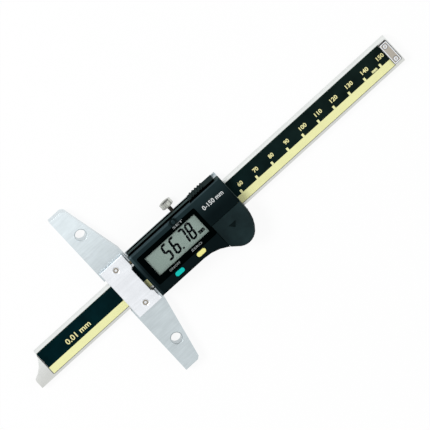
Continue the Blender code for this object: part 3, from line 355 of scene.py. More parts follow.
def make_finishes(ours):
    """Every finish of the gauge by its key, from the colours that the user chose."""
    flat_lay, base_lay, beam_lay = (1.0, 1.0, 1.0), (0.08, 1.0, 1.0), (0.03, 1.0, 1.0)
    turned_lay, cell_lay, fine = (1.0, 0.1, 1.0), (1.0, 1.0, 0.05), 1500.0
    FINISHES.update({
        "base": metal("base ground steel", ours.ground, 0.30, 0.42, base_lay, 1400.0, streak=0.045),
        "beam": metal("beam ground steel", ours.beam, 0.24, 0.36, beam_lay),
        "bright": metal("bright satin steel", ours.bright, 0.28, 0.38, beam_lay),
        "turned": metal("turned bright steel", ours.bright, 0.14, 0.26, turned_lay, fine),
        "screw": metal("dark screw steel", ours.dark_metal, 0.25, 0.4, turned_lay, fine),
        "pin": metal("turned pin steel", ours.pin, 0.3, 0.45, turned_lay, fine),
        "brass": metal("drawn brass", ours.brass, 0.25, 0.4, beam_lay),
        "gold": metal("plated contact", ours.gold, 0.15, 0.25, turned_lay),
        "cell": metal("plated cell steel", ours.bright, 0.12, 0.22, cell_lay),
        "housing": plastic("black moulded housing", ours.housing, 0.36, 0.5, 0.25, 0.0),
        # Painted light: a lighter grey for the lit side of the housing's lower half.
        "back": plastic("black moulded back with painted light", ours.back, 0.45, 0.6, 0.4, 0.0),
        "cover": plastic("black battery cover", ours.cover, 0.34, 0.48, 0.25, 0.04, 0.3),
        "window": plastic("gloss window border", ours.window, 0.06, 0.12, 0.02, 0.0),
        "display": plastic("liquid crystal ground", ours.crystal, 0.45, 0.6, 0.05, 0.1, 0.03),
        "digit": plastic("liquid crystal segment", ours.digit, 0.45, 0.6, 0.02, 0.02),
        "label": plastic("black scale film", ours.label, 0.3, 0.42, 0.05, 0.01, 0.3),
        "band": plastic("pale scale ink", ours.band, 0.5, 0.65, 0.15, 0.3, 0.04),
        "numbers": plastic("gold scale ink", ours.numbers, 0.5, 0.65, 0.15, 0.3, 0.08),
        "lettering": plastic("white printing", ours.lettering, 0.5, 0.65, 0.15, 0.3, 0.06),
        "power": plastic("teal button rubber", ours.power, 0.35, 0.5, 0.1, 0.12, 0.05),
        "zero": plastic("cream button rubber", ours.zero, 0.35, 0.5, 0.1, 0.12, 0.04),
        "white": plastic("white moulding", ours.white, 0.4, 0.55, 0.1, 0.4, 0.03),
        "board": plastic("green circuit board", ours.board, 0.3, 0.45, 0.1, 0.5, 0.15),
        "rubber": plastic("striped contact rubber", ours.cover, 0.6, 0.75, 0.3, 0.2),
        "glass": glass("clear window"),
        "port": plastic("black port cover", ours.port, 0.5, 0.65, 0.3, 0.0),
        "caption": plastic("grey caption ink", ours.caption, 0.5, 0.65, 0.15, 0.2, 0.1),
        # Painted shade of the sunk arrow and the dish.
        "arrow": plastic("painted recess shade", ours.arrow, 0.45, 0.6, 0.1, 0.0),
        # Painted shade of the gaps at the stop plate; also the clamp's stem.
        "edge": metal("painted gap shade and dark stem steel", ours.edge, 0.5, 0.65, turned_lay),
        "field": metal("etched stop plate", ours.field, 0.4, 0.55, flat_lay, 1800.0, 0.3),
        "knurl": metal("knurled screw steel", ours.knurl, 0.16, 0.3, turned_lay, fine),
    })


def add_drifts(ours):
    """Slow changes of tone over the scale film, and painted light and shade over the steels and the
    plastics: the beam, the base and the housing darker towards -Y, the battery cover darker towards
    the bezel, and a painted highlight along the housing's +Y and left edges.
    """
    plain = (1.0, 1.0, 1.0)
    low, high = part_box("beam")
    # Painted shade: the beam darker towards -Y.
    FINISHES["beam"].tint(Y_AXIS, low.y, high.y, (0.8, 0.79, 0.775), plain)
    low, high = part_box("scale_label")
    FINISHES["label"].tint(X_AXIS, low.x, high.x, plain, (9.0, 1.15, 0.8))
    # Painted light and shade: the base darker towards -Y and lighter over its upper wing.
    start, high = 4 * MM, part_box("base")[1]
    FINISHES["base"].tint(Y_AXIS, start, high.y, (0.885, 0.89, 0.885), (1.22, 1.215, 1.21))
    # Painted shade: the battery cover darker towards its left end, by the bezel.
    FINISHES["cover"].tint(X_AXIS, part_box("battery_cover")[0].x, middle("battery_cover").x,
                           (0.55, 0.6, 0.6), plain)
    low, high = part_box("front_bezel")
    housing, ridge = FINISHES["housing"], ours.ridge
    # Painted shade: the housing darker towards -Y.
    housing.tint(Y_AXIS, 0.0, high.y, (0.3, 0.32, 0.32), plain)
    # Painted highlight along the housing's +Y edge.
    housing.tint(Y_AXIS, high.y - ridge, high.y - ridge * 0.6, plain, (2.9, 2.4, 2.4))
    # Painted highlight along the housing's left edge.
    housing.tint(X_AXIS, low.x + ridge, low.x + ridge * 1.5, (2.6, 2.3, 2.3), plain)


def add_grooves(ours):
    """Painted shade: a dark band along the groove of the housing's parting line, over the upper part
    of the port cover, and at the foot of the housing's side.
    """
    low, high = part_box("front_bezel")
    for key in ("housing", "back"):
        # Painted shade in the groove along the housing's parting line.
        FINISHES[key].groove(low.z - ours.groove_drop, low.z + ours.groove_rise,
                             high.y - ours.groove_depth)
    # Painted shade over the upper part of the port cover, under the bezel.
    FINISHES["port"].groove(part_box("port_cover")[1].z - ours.groove_rise, high.z, 0.0)
    # Painted shade at the foot of the housing's side.
    FINISHES["back"].groove(0.0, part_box("lower_case")[0].z + ours.foot_rise,
                            high.y - ours.groove_depth * 4)


def numbered(name, count):
    """The names of like nodes."""
    return tuple(f"{name}_{number}" for number in range(1, count + 1))


COATS = {
    "base": ("base", "slider_frame"),
    "beam": ("beam",),
    "bright": ("base_cover", "stop_plate"),
    "turned": ("clamp_screw", *numbered("switch_dome", 3)),
    "screw": (*numbered("gib_set_screw", 2), *numbered("stop_screw", 2),
              *numbered("case_screw", 4)),
    "brass": ("gib", "clamp_pad"),
    "pin": numbered("cover_pin", 2),
    "gold": ("battery_contact_plus", *numbered("output_contact", 5)),
    "cell": ("battery", "battery_contact_minus"),
    "housing": ("front_bezel", "set_button", "processor_chip", "output_connector"),
    "port": ("port_cover",),
    "back": ("lower_case",),
    "cover": ("battery_cover",),
    "window": ("display_window",),
    "display": ("lcd_panel",),
    "white": ("lcd_holder",),
    "board": ("circuit_board", "detector_plate", "scale_substrate"),
    "rubber": numbered("zebra_connector", 2),
    "label": ("scale_label",),
    "power": ("power_button",),
    "zero": ("zero_button",),
}


def middle(node):
    """The centre of a node's box."""
    low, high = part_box(node)
    return (low + high) / 2


def fresh_verts(grown):
    """The vertices among what an extrusion has made."""
    return [item for item in grown["geom"] if isinstance(item, bmesh.types.BMVert)]


def block(bm, low, high):
    """Adds a box between two corners."""
    low, high = Vector(low), Vector(high)
    made = bmesh.ops.create_cube(bm, size=1.0)["verts"]
    bmesh.ops.scale(bm, vec=high - low, verts=made)
    bmesh.ops.translate(bm, vec=(high + low) / 2, verts=made)


def slab(bm, outline, low, high):
    """Adds a prism over an outline of (x, y) points, between two heights."""
    floor = bm.faces.new([bm.verts.new((x, y, low)) for x, y in outline])
    grown = bmesh.ops.extrude_face_region(bm, geom=[floor])
    bmesh.ops.translate(bm, vec=(0, 0, high - low), verts=fresh_verts(grown))


def disc(bm, radius, low, high, x=0.0, y=0.0):
    """Adds a round block about an upright axis at (x, y), between two heights."""
    made = bmesh.ops.create_cone(bm, cap_ends=True, segments=ROUND, radius1=radius, radius2=radius,
                                 depth=high - low)["verts"]
    bmesh.ops.translate(bm, vec=(x, y, (high + low) / 2), verts=made)


def ring(bm, inner, outer, low, high, x=0.0, y=0.0):
    """Adds a flat ring about an upright axis at (x, y), between two heights."""
    profile = ((inner, low), (outer, low), (outer, high), (inner, high))
    start = [bm.verts.new((x + out, y, z)) for out, z in profile]
    face = bm.faces.new(start)
    bmesh.ops.spin(bm, geom=[*start, *face.edges], cent=(x, y, 0), axis=Z_AXIS, angle=math.tau,
                   steps=ROUND, use_merge=True)
    bmesh.ops.delete(bm, geom=[face], context="FACES_ONLY")


def quarter(bm, radius, low, high, cuts):
    """Adds the part of a disc that lies beyond each cut, given as (direction, distance)."""
    made = bmesh.new()
    disc(made, radius, low, high)
    for direction, distance in cuts:
        geometry = made.verts[:] + made.edges[:] + made.faces[:]
        bmesh.ops.bisect_plane(made, geom=geometry, plane_co=Vector(direction) * distance,
                               plane_no=direction, clear_inner=True)
        bmesh.ops.holes_fill(made, edges=[edge for edge in made.edges if edge.is_boundary])
    mesh = bpy.data.meshes.new("quarter")
    made.to_mesh(mesh)
    made.free()
    bm.from_mesh(mesh)
    bpy.data.meshes.remove(mesh)


def arc(x, y, radius, start, sweep, steps):
    """Points along an arc, whose angles are in degrees."""
    turns = [math.radians(start + sweep * step / steps) for step in range(steps + 1)]
    return [(x + radius * math.cos(turn), y + radius * math.sin(turn)) for turn in turns]


def rounded_rectangle(low, high, radius):
    """Points round a rectangle with round corners."""
    left, right, foot, top = low.x + radius, high.x - radius, low.y + radius, high.y - radius
    corners = ((right, top, 0), (left, top, 90), (left, foot, 180), (right, foot, 270))
    return [point for x, y, start in corners for point in arc(x, y, radius, start, 90, 6)]


def pill_outline(low, high):
    """Points round a pill that fills a rectangle."""
    radius, y = (high.y - low.y) / 2, (high.y + low.y) / 2
    return (arc(high.x - radius, y, radius, -90, 180, 10)
            + arc(low.x + radius, y, radius, 90, 180, 10))


def add_border(bm, outer, inner, low, high):
    """Adds a flat frame between two outlines of as many points, between two heights."""
    verts = [bm.verts.new((x, y, low)) for x, y in outer]
    edges = [bm.edges.new((verts[k - 1], verts[k])) for k in range(len(verts))]
    for points, z in ((outer, high), (inner, high), (inner, low), (outer, low)):
        targets = {tuple(old.co): (*new, z) for old, new in zip(verts, points)}
        grown = bmesh.ops.extrude_edge_only(bm, edges=edges)
        edges = [item for item in grown["geom"] if isinstance(item, bmesh.types.BMEdge)]
        fresh = fresh_verts(grown)
        for vert in fresh:
            vert.co = targets[tuple(vert.co)]
        verts = [min(fresh, key=lambda vert: (vert.co - Vector((*point, z))).length)
                 for point in points]
    bmesh.ops.remove_doubles(bm, verts=bm.verts, dist=0.001 * MM)


def add_words(bm, words, corner, size, base, ink, bold=0.018):
    """Adds printed words that fill a rectangle, standing on a face at base."""
    curve = bpy.data.curves.new("words", "FONT")
    curve.body = words
    curve.resolution_u = 3
    curve.extrude = 0.5
    curve.offset = bold
    text = bpy.data.objects.new("words", curve)
    bpy.context.scene.collection.objects.link(text)
    graph = bpy.context.evaluated_depsgraph_get()
    mesh = bpy.data.meshes.new_from_object(text.evaluated_get(graph))
    bpy.data.objects.remove(text)
    bpy.data.curves.remove(curve)
    xs = [vert.co.x for vert in mesh.vertices]
    ys = [vert.co.y for vert in mesh.vertices]
    fit = Matrix.Diagonal((size[0] / (max(xs) - min(xs)), size[1] / (max(ys) - min(ys)), ink, 1))
    place = Matrix.Translation((*corner, base + ink / 2))
    mesh.transform(place @ fit @ Matrix.Translation((-min(xs), -min(ys), 0)))
    bm.from_mesh(mesh)
    bpy.data.meshes.remove(mesh)


def upright(centre, normal):
    """A matrix that carries the Z axis to a direction and zero to a point."""
    turn = Z_AXIS.rotation_difference(Vector(normal))
    return Matrix.Translation(centre) @ turn.to_matrix().to_4x4()


def piece(name, bm, finish, body, smooth=35, replaced=()):
    """Makes an object of a mesh that is already in place, and lets it ride on its body."""
    bmesh.ops.recalc_face_normals(bm, faces=bm.faces)
    mesh = bpy.data.meshes.new(name)
    bm.to_mesh(mesh)
    bm.free()
    mesh.materials.append(FINISHES[finish].material)
    mesh.shade_smooth()
    mesh.set_sharp_from_angle(angle=math.radians(smooth))
    made = bpy.data.objects.new(name, mesh)
    bpy.context.scene.collection.objects.link(made)
    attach(made, body)
    if replaced:
        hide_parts(*replaced)


class GAUGE_OT_finishes(bpy.types.Operator):
    """Gives every part of the frame its metal or plastic"""
    bl_idname = "gauge.finishes"
    bl_label = "Finishes"

    def execute(self, context):
        for build in (tone_group, lay_group, skin_group, drift_group, groove_group):
            build()
        ours = context.scene.gauge_finish
        make_finishes(ours)
        add_drifts(ours)
        add_grooves(ours)
        for key, nodes in COATS.items():
            for node in nodes:
                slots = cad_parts[node].data.materials
                slots.clear()
                slots.append(FINISHES[key].material)
        return {"FINISHED"}


class GAUGE_OT_scale(bpy.types.Operator):
    """Prints the band, the graduations, the numbers and the resolution on the beam's scale"""
    bl_idname = "gauge.scale"
    bl_label = "Scale printing"

    def execute(self, context):
        sizes = context.scene.gauge_print
        low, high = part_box("scale_label")
        band_edge = low.y + (high.y - low.y) * sizes.band_share
        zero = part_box("beam")[0].x + sizes.zero_place
        self.print_band(sizes, low, high, band_edge, zero)
        self.print_numbers(sizes, high, band_edge, zero)
        from_tip, rise, words_size = 14.2 * MM, 1.8 * MM, (15.0 * MM, 3.0 * MM)
        bm = bmesh.new()
        add_words(bm, "0.01 mm", (low.x + from_tip, band_edge + rise), words_size, high.z,
                  sizes.ink)
        piece("scale_words", bm, "numbers", "beam_body")
        return {"FINISHED"}

    def print_band(self, sizes, low, high, band_edge, zero):
        """The pale band with its graduations, and the small unit near its end."""
        overhang, top, half = sizes.ink * 4, high.z + sizes.ink, sizes.tick_width / 2
        bm = bmesh.new()
        block(bm, (low.x, low.y - overhang, high.z), (high.x, band_edge, top))
        for number in range(0, sizes.last + 1, sizes.pitch):
            x = zero + number * MM
            if x + sizes.tick_width <= high.x:
                block(bm, (x - half, band_edge - sizes.ink, high.z),
                      (x + half, band_edge + sizes.tick_reach, top))
        from_zero, rise, unit_size = 144.8 * MM, sizes.ink * 10, (3.2 * MM, 1.2 * MM)
        add_words(bm, "mm", (zero + from_zero, band_edge + rise), unit_size, high.z, sizes.ink,
                  sizes.bold * 2)
        piece("scale_band", bm, "band", "beam_body")

    def print_numbers(self, sizes, high, band_edge, zero):
        """The number beside each graduation. The last is narrowed to end with the film."""
        bm = bmesh.new()
        foot = band_edge + sizes.number_start
        for number in range(0, sizes.last + 1, sizes.pitch):
            x = zero + number * MM + sizes.number_step
            wide = sizes.digit_width * len(str(number))
            if x + wide > high.x:
                wide = high.x - x - sizes.ink
            add_words(bm, str(number), (x, foot), (wide, sizes.number_height), high.z, sizes.ink,
                      sizes.bold)
        piece("scale_numbers", bm, "numbers", "beam_body")


SEGMENTS = {"5": "afgcd", "6": "afgecd", "7": "abc", "8": "abcdefg"}


def add_digit(bm, digit, start, foot, sizes, low, high):
    """Adds the lit segments of one leaning digit, which overlap a little at their ends."""
    wide, tall, half = sizes.digit_width, sizes.digit_height, sizes.stroke / 2
    lean = math.tan(sizes.slant)
    overlap = sizes.stroke * 0.1

    def level(y):
        x0, x1 = half - overlap, wide - half + overlap
        return ((x0, y), (x0 + half, y + half), (x1 - half, y + half), (x1, y),
                (x1 - half, y - half), (x0 + half, y - half))

    def post(x, y0, y1):
        y0, y1 = y0 - overlap, y1 + overlap
        return ((x, y0), (x + half, y0 + half), (x + half, y1 - half), (x, y1),
                (x - half, y1 - half), (x - half, y0 + half))

    left, right, centre, top = half, wide - half, tall / 2, tall - half
    shapes = {"a": level(top), "b": post(right, centre, top), "c": post(right, half, centre),
              "d": level(half), "e": post(left, half, centre), "f": post(left, centre, top),
              "g": level(centre)}
    for key in SEGMENTS[digit]:
        slab(bm, [(start + x + lean * y, foot + y) for x, y in shapes[key]], low, high)


class GAUGE_OT_display(bpy.types.Operator):
    """Builds the window with its border and pane, the reading and the captions"""
    bl_idname = "gauge.display"
    bl_label = "Display"

    def execute(self, context):
        sizes, ink = context.scene.gauge_display, context.scene.gauge_print.ink
        low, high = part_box("display_window")
        view_low = Vector((low.x + sizes.margin_left, low.y + sizes.margin_low, low.z))
        view_high = Vector((high.x - sizes.margin_right, high.y - sizes.margin_high, high.z))
        corner, view_corner, play, pane = 0.6 * MM, 0.25 * MM, 0.02 * MM, 0.5 * MM
        bm = bmesh.new()
        add_border(bm, rounded_rectangle(low, high, corner),
                   rounded_rectangle(view_low, view_high, view_corner), low.z, high.z)
        piece("window_border", bm, "window", "root", replaced=("display_window",))
        inset = Vector((play, play, 0))
        clear = rounded_rectangle(view_low + inset, view_high - inset, view_corner)
        bm = bmesh.new()
        slab(bm, clear, high.z - pane, high.z - play)
        piece("window_pane", bm, "glass", "root")
        self.add_reading(sizes, view_low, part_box("lcd_panel")[1].z, ink)
        self.add_captions(high.z, ink)
        return {"FINISHED"}

    def add_reading(self, sizes, corner, face, ink):
        """The digits, the point and the unit, placed from the display's lower left corner."""
        foot, point, unit = corner.y + 1.65 * MM, corner.x + 17.0 * MM, corner.x + 27.6 * MM
        unit_size, unit_bold, dot = (3.5 * MM, 1.9 * MM), 0.07, sizes.stroke * 0.85
        bm = bmesh.new()
        for digit, place in (("5", 7.8), ("6", 12.75), ("7", 18.65), ("8", 22.9)):
            add_digit(bm, digit, corner.x + place * MM, foot, sizes, face, face + ink)
        block(bm, (point, foot, face), (point + dot, foot + dot, face + ink))
        add_words(bm, "mm", (unit, foot), unit_size, face, ink, unit_bold)
        piece("reading", bm, "digit", "root")

    def add_captions(self, face, ink):
        """The words beside the three buttons: their width, rise and shift from the button."""
        tall = 1.1 * MM
        bm = bmesh.new()
        for words, node, wide, rise, shift in (("ON/OFF", "power_button", 6.6, 3.1, 0.0),
                                               ("ZERO", "zero_button", 6.6, 3.1, 0.2),
                                               ("SET", "set_button", 6.2, -2.08, 0.95)):
            centre = middle(node)
            corner = (centre.x + (shift - wide / 2) * MM, centre.y + rise * MM)
            add_words(bm, words, corner, (wide * MM, tall), face, ink, 0.0)
        piece("button_captions", bm, "caption", "root")


class GAUGE_OT_housing(bpy.types.Operator):
    """Prints the measuring range on the housing, builds the painted shade in its arrow and dish, and
    builds its port cover
    """
    bl_idname = "gauge.housing"
    bl_label = "Housing details"

    def execute(self, context):
        ink = context.scene.gauge_print.ink
        end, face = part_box("front_bezel")[1].xz
        wide, tall, from_end, foot = 12.6 * MM, 2.4 * MM, 3.0 * MM, 4.9 * MM
        bm = bmesh.new()
        add_words(bm, "0-150 mm", (end - from_end - wide, foot), (wide, tall), face, ink)
        piece("range_words", bm, "lettering", "root")
        self.add_arrow(face, ink)
        self.add_dish(face)
        self.add_port_cover()
        return {"FINISHED"}

    def add_arrow(self, face, ink):
        """Painted shade: a dark slab in the sunk arrow that shows which way the battery cover
        slides.
        """
        wide, tall, sunk, from_end, y = 4.9 * MM, 2.8 * MM, 0.34 * MM, 9.9 * MM, -8.9 * MM
        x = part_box("battery_cover")[1].x - from_end
        bm = bmesh.new()
        outline = ((x - wide / 2, y), (x, y - tall), (x + wide / 2, y))
        slab(bm, outline, face - sunk, face - sunk + ink * 4)
        piece("arrow_recess_shade", bm, "arrow", "battery_cover_body")

    def add_dish(self, face):
        """Painted shade: a dark ring on the floor of the dish round the sunk button."""
        inner, outer, floor, top, y = 1.28 * MM, 1.95 * MM, 0.49 * MM, 0.42 * MM, 11.1 * MM
        bm = bmesh.new()
        ring(bm, inner, outer, face - floor, face - top, middle("set_button").x, y)
        piece("set_dish_shade_ring", bm, "arrow", "root")

    def add_port_cover(self):
        """The sliding cover of the output port, with grip ribs down to its foot."""
        low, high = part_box("port_cover")
        rib, wall, lip, rib_top = 0.4 * MM, 1.0 * MM, 0.8 * MM, 1.1 * MM
        outer, inner = high.y - rib, high.y - rib - wall
        profile = ((inner, low.z), (outer, low.z), (outer, high.z), (low.y, high.z),
                   (low.y, high.z - lip), (inner, high.z - lip))
        bm = bmesh.new()
        face = bm.faces.new([bm.verts.new((low.x, y, z)) for y, z in profile])
        grown = bmesh.ops.extrude_face_region(bm, geom=[face])
        bmesh.ops.translate(bm, vec=(high.x - low.x, 0, 0), verts=fresh_verts(grown))
        start, pitch, wide, count = 1.6 * MM, 1.7 * MM, 0.85 * MM, 5
        for number in range(count):
            x = low.x + start + number * pitch
            block(bm, (x, outer - rib, low.z), (x + wide, high.y, high.z - rib_top))
        piece("port_cover_ribs", bm, "port", "port_cover_body", 30,
              ("port_cover",))


class GAUGE_OT_buttons(bpy.types.Operator):
    """Builds the soft crowned pills"""
    bl_idname = "gauge.buttons"
    bl_label = "Buttons"

    def execute(self, context):
        self.add_pill("power_button", "power", "teal_plastic")
        self.add_pill("zero_button", "zero", "cream_plastic")
        return {"FINISHED"}

    def add_pill(self, node, finish, slot):
        """A pill with a crowned top, on a flange that fills the CAD pill's outline."""
        low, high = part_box(node)
        flange, flange_thick, crown = 0.73 * MM, 0.8 * MM, 0.12 * MM
        edge = Vector((flange, flange, 0))
        bm = bmesh.new()
        slab(bm, pill_outline(low + edge, high - edge), low.z, high.z - crown)
        top = max(bm.faces, key=lambda face: face.calc_center_median().z)
        for inset, rise in ((0.18, 0.07), (0.3, 0.04), (0.35, 0.01)):
            bmesh.ops.inset_individual(bm, faces=[top], thickness=inset * MM)
            bmesh.ops.translate(bm, vec=(0, 0, rise * MM), verts=top.verts)
        slab(bm, pill_outline(low, high), low.z, low.z + flange_thick)
        piece(node + "_cap", bm, finish, node + "_body", 60, (node,))


class GAUGE_OT_clamp(bpy.types.Operator):
    """Builds the knurled clamp screw"""
    bl_idname = "gauge.clamp"
    bl_label = "Clamp screw"

    def execute(self, context):
        low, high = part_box("clamp_screw")
        centre = middle("clamp_screw")
        head, neck, overlap = 2.6 * MM, 0.95 * MM, 0.4 * MM
        segments, valley = 96, 0.91
        rim, shoulder, sunk = 0.22 * MM, 0.4 * MM, 0.2 * MM
        bm = bmesh.new()
        made = bmesh.ops.create_circle(bm, cap_ends=True, radius=(high.x - low.x) / 2,
                                       segments=segments)["verts"]
        valleys = [vert for k, vert in enumerate(made) if k % 4 in (0, 1)]
        bmesh.ops.scale(bm, vec=(valley, valley, 1), verts=valleys)
        grown = bmesh.ops.extrude_face_region(bm, geom=bm.faces[:])
        bmesh.ops.translate(bm, vec=(0, 0, head), verts=fresh_verts(grown))
        bmesh.ops.recalc_face_normals(bm, faces=bm.faces)
        top = max(bm.faces, key=lambda face: face.calc_center_median().z)
        bottom = min(bm.faces, key=lambda face: face.calc_center_median().z)
        for cap, way in ((top, 1), (bottom, -1)):
            bmesh.ops.inset_individual(bm, faces=[cap], thickness=rim)
            bmesh.ops.inset_individual(bm, faces=[cap], thickness=shoulder)
            bmesh.ops.translate(bm, vec=(0, 0, -sunk * way), verts=cap.verts)
        place = upright((centre.x, high.y - head, centre.z), Y_AXIS)
        bmesh.ops.transform(bm, matrix=place, verts=bm.verts)
        piece("knurled_head", bm, "knurl", "clamp_body", 30, ("clamp_screw",))
        bm = bmesh.new()
        disc(bm, neck, low.y + head - high.y, overlap)
        bmesh.ops.transform(bm, matrix=place, verts=bm.verts)
        piece("clamp_stem", bm, "edge", "clamp_body", 30)
        return {"FINISHED"}


class GAUGE_OT_stop(bpy.types.Operator):
    """Builds the stop plate with its raised rim and etched middle"""
    bl_idname = "gauge.stop"
    bl_label = "Stop plate"

    def execute(self, context):
        low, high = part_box("stop_plate")
        margin, rim, sunk, corner = 0.24 * MM, 0.42 * MM, 0.12 * MM, 0.5 * MM
        floor, face = high.z - sunk * 2, high.z - sunk
        bm = bmesh.new()
        # Painted shade: a dark foot under the rim, whose margin shows as a dark gap round the plate.
        slab(bm, rounded_rectangle(low, high, corner), low.z, floor)
        piece("stop_plate_shade_foot", bm, "edge", "beam_body", 30, ("stop_plate",))
        edge, inset = Vector((margin, margin, 0)), Vector((rim, rim, 0))
        outer = rounded_rectangle(low + edge, high - edge, corner)
        inner = rounded_rectangle(low + edge + inset, high - edge - inset, corner / 2)
        bm = bmesh.new()
        add_border(bm, outer, inner, floor, high.z)
        piece("stop_plate_rim", bm, "bright", "beam_body", 30)
        bm = bmesh.new()
        slab(bm, inner, floor, face)
        piece("stop_plate_field", bm, "field", "beam_body", 30)
        self.add_rings(face)
        return {"FINISHED"}

    def add_rings(self, face):
        """Painted shade: dark rings for the gaps round the two screws."""
        play, wide, floor, top = 0.01 * MM, 0.24 * MM, 0.05 * MM, 0.02 * MM
        bm = bmesh.new()
        for node in numbered("stop_screw", 2):
            low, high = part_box(node)
            radius, centre = (high.x - low.x) / 2, middle(node)
            ring(bm, radius + play, radius + wide, face - floor, face + top, centre.x, centre.y)
        piece("stop_screw_shade_rings", bm, "edge", "beam_body", 30)


class GAUGE_OT_screws(bpy.types.Operator):
    """Builds the heads of the stop and case screws, and the pins of the cover plate"""
    bl_idname = "gauge.screws"
    bl_label = "Screws"

    def execute(self, context):
        for node in numbered("stop_screw", 2):
            self.add_screw(node, True, 0.5, "turned", "beam_body")
        for node in numbered("case_screw", 4):
            self.add_screw(node, False, 0.6, "screw", "root")
        for node in numbered("cover_pin", 2):
            self.add_pin(node)
        return {"FINISHED"}

    def add_screw(self, node, faces_up, shank_share, finish, body):
        """A screw whose head shows a cross inside its rim, on a plain shank."""
        low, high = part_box(node)
        centre, radius = middle(node), (high.x - low.x) / 2
        height, slot, rim, sunk = 0.5 * MM, 0.35 * MM, radius * 0.72, 0.3 * MM
        floor = -height * 0.55
        bm = bmesh.new()
        disc(bm, radius, -height, floor)
        ring(bm, rim, radius, floor, 0)
        for a in (1, -1):
            for b in (1, -1):
                quarter(bm, rim, floor, 0, (((a, 0, 0), slot / 2), ((0, b, 0), slot / 2)))
        crown, normal = (high.z, Z_AXIS) if faces_up else (low.z, -Z_AXIS)
        place = upright((centre.x, centre.y, crown), normal)
        bmesh.ops.transform(bm, matrix=place, verts=bm.verts)
        start, end = (low.z, high.z - sunk) if faces_up else (low.z + sunk, high.z)
        disc(bm, radius * shank_share, start, end, centre.x, centre.y)
        piece(node + "_head", bm, finish, body, 30, (node,))

    def add_pin(self, node):
        """A riveted pin: a bright rim flush with the plate, a dark ring and a pale middle."""
        low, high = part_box(node)
        x, y = middle(node).xy
        face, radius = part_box("base_cover")[1].z, (high.x - low.x) / 2
        eye, groove, rim = radius * 0.5, radius + 0.02 * MM, radius + 0.28 * MM
        rim_drop, groove_drop, eye_drop = 0.03 * MM, 0.12 * MM, 0.08 * MM
        bm = bmesh.new()
        ring(bm, groove, rim, low.z, face - rim_drop, x, y)
        piece(node + "_rim", bm, "bright", "root", 30)
        bm = bmesh.new()
        ring(bm, eye, groove, low.z, face - groove_drop, x, y)
        piece(node + "_ring", bm, "pin", "root", 30, (node,))
        bm = bmesh.new()
        disc(bm, eye, low.z, face - eye_drop, x, y)
        piece(node + "_eye", bm, "turned", "root", 30)


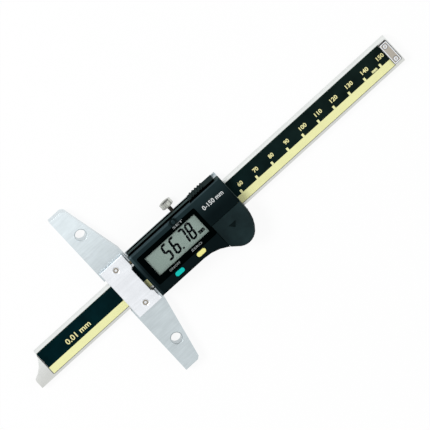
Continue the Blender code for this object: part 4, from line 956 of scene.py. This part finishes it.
class GAUGE_OT_studio(bpy.types.Operator):
    """Places the camera, the lamps, the world and the floor"""
    bl_idname = "gauge.studio"
    bl_label = "Studio"

    def execute(self, context):
        studio = context.scene.gauge_studio
        centre = Vector((studio.centre_along, studio.centre_across, 0))
        key_place, fill_place = Vector((-0.7, 0.9, 1.4)), Vector((1.1, -0.7, 1.3))
        self.aim_camera(context, studio)
        self.add_lamp("key lamp", centre, key_place, studio.key_size, studio.key)
        self.add_lamp("fill lamp", centre, fill_place, studio.fill_size, studio.fill)
        self.light_world(context, studio)
        self.lay_floor(studio, centre)
        context.scene.view_settings.view_transform = "Standard"
        return {"FINISHED"}

    def aim_camera(self, context, studio):
        """The camera looks down on the display, leaning across the beam and a little along it."""
        across = Vector((0, math.cos(studio.tilt), -math.sin(studio.tilt)))
        tilted = Vector((0, math.sin(studio.tilt), math.cos(studio.tilt)))
        along = X_AXIS * math.cos(studio.lean) - tilted * math.sin(studio.lean)
        back = tilted * math.cos(studio.lean) + X_AXIS * math.sin(studio.lean)
        right = along * math.cos(studio.turn) - across * math.sin(studio.turn)
        up = along * math.sin(studio.turn) + across * math.cos(studio.turn)
        centre = Vector((studio.centre_along, studio.centre_across, studio.centre_height))
        data = bpy.data.cameras.new("camera")
        data.lens = data.sensor_width * studio.distance / studio.width
        camera = bpy.data.objects.new("camera", data)
        camera.matrix_world = (Matrix.Translation(centre + back * studio.distance)
                               @ Matrix((right, up, back)).transposed().to_4x4())
        context.scene.collection.objects.link(camera)
        context.scene.camera = camera

    def add_lamp(self, name, centre, offset, size, power):
        """A large soft lamp that faces the gauge."""
        data = bpy.data.lights.new(name, "AREA")
        data.size = size
        data.energy = power
        lamp = bpy.data.objects.new(name, data)
        lamp.matrix_world = upright(centre + offset, offset)
        bpy.context.scene.collection.objects.link(lamp)

    def seen(self, tree, low, high):
        """High for the rays that see a background (camera, mirror and glass rays), else low."""
        path = add_node(tree, "LightPath").outputs
        both = compute(tree, "MAXIMUM", path["Is Camera Ray"], path["Is Glossy Ray"])
        mask = compute(tree, "MAXIMUM", both, path["Is Transmission Ray"])
        spread = add_node(tree, "MapRange", {"Value": mask, "To Min": low, "To Max": high})
        return spread.outputs["Result"]

    def light_world(self, context, studio):
        """Even daylight, white where it is seen."""
        world = bpy.data.worlds.new("daylight")
        world.use_nodes = True
        tree = world.node_tree
        shade = tree.nodes["Background"]
        shade.inputs["Color"].default_value = (1, 1, 1, 1)
        tree.links.new(self.seen(tree, studio.daylight, 1.0), shade.inputs["Strength"])
        context.scene.world = world

    def lay_floor(self, studio, centre):
        """A pale floor that looks white and keeps the gauge's shadow."""
        reach, drop, paper = 4.0, 0.02 * MM, 0.93
        material = bpy.data.materials.new("pale floor")
        material.use_nodes = True
        tree = material.node_tree
        tree.nodes.clear()
        matt = add_node(tree, "BsdfDiffuse", {"Color": (paper, paper, paper, 1)})
        glow = add_node(tree, "Emission")
        mix = add_node(tree, "MixShader", {"Fac": self.seen(tree, 0.0, studio.floor_glow),
                                           1: matt.outputs[0], 2: glow.outputs[0]})
        add_node(tree, "OutputMaterial", {"Surface": mix.outputs[0]})
        bm = bmesh.new()
        bmesh.ops.create_grid(bm, x_segments=2, y_segments=2, size=reach)
        bmesh.ops.translate(bm, vec=(centre.x, centre.y, -drop), verts=bm.verts)
        mesh = bpy.data.meshes.new("floor")
        bm.to_mesh(mesh)
        bm.free()
        mesh.materials.append(material)
        floor = bpy.data.objects.new("floor", mesh)
        bpy.context.scene.collection.objects.link(floor)


OPERATORS = (GAUGE_OT_finishes, GAUGE_OT_scale, GAUGE_OT_display, GAUGE_OT_housing,
             GAUGE_OT_buttons, GAUGE_OT_clamp, GAUGE_OT_stop, GAUGE_OT_screws, GAUGE_OT_studio)


class GAUGE_PT_panel(bpy.types.Panel):
    """Lists the steps that dress the gauge, and their sizes and colours"""
    bl_idname = "GAUGE_PT_panel"
    bl_label = "Depth gauge"
    bl_space_type = "VIEW_3D"
    bl_region_type = "UI"
    bl_category = "Depth gauge"

    def draw(self, context):
        column = self.layout.column()
        for operator in OPERATORS:
            column.operator(operator.bl_idname)
        for key, group in GROUPS.items():
            settings = getattr(context.scene, key)
            box = self.layout.box()
            for name in group.__annotations__:
                box.prop(settings, name)


def register():
    for key, group in GROUPS.items():
        bpy.utils.register_class(group)
        setattr(bpy.types.Scene, key, bpy.props.PointerProperty(type=group))
    for operator in OPERATORS:
        bpy.utils.register_class(operator)
    bpy.utils.register_class(GAUGE_PT_panel)


def unregister():
    bpy.utils.unregister_class(GAUGE_PT_panel)
    for operator in reversed(OPERATORS):
        bpy.utils.unregister_class(operator)
    for key, group in reversed(GROUPS.items()):
        delattr(bpy.types.Scene, key)
        bpy.utils.unregister_class(group)


def main():
    """Dresses the gauge step by step."""
    register()
    bpy.ops.gauge.finishes()
    bpy.ops.gauge.scale()
    bpy.ops.gauge.display()
    bpy.ops.gauge.housing()
    bpy.ops.gauge.buttons()
    bpy.ops.gauge.clamp()
    bpy.ops.gauge.stop()
    bpy.ops.gauge.screws()
    bpy.ops.gauge.studio()


if __name__ == "__main__":
    main()
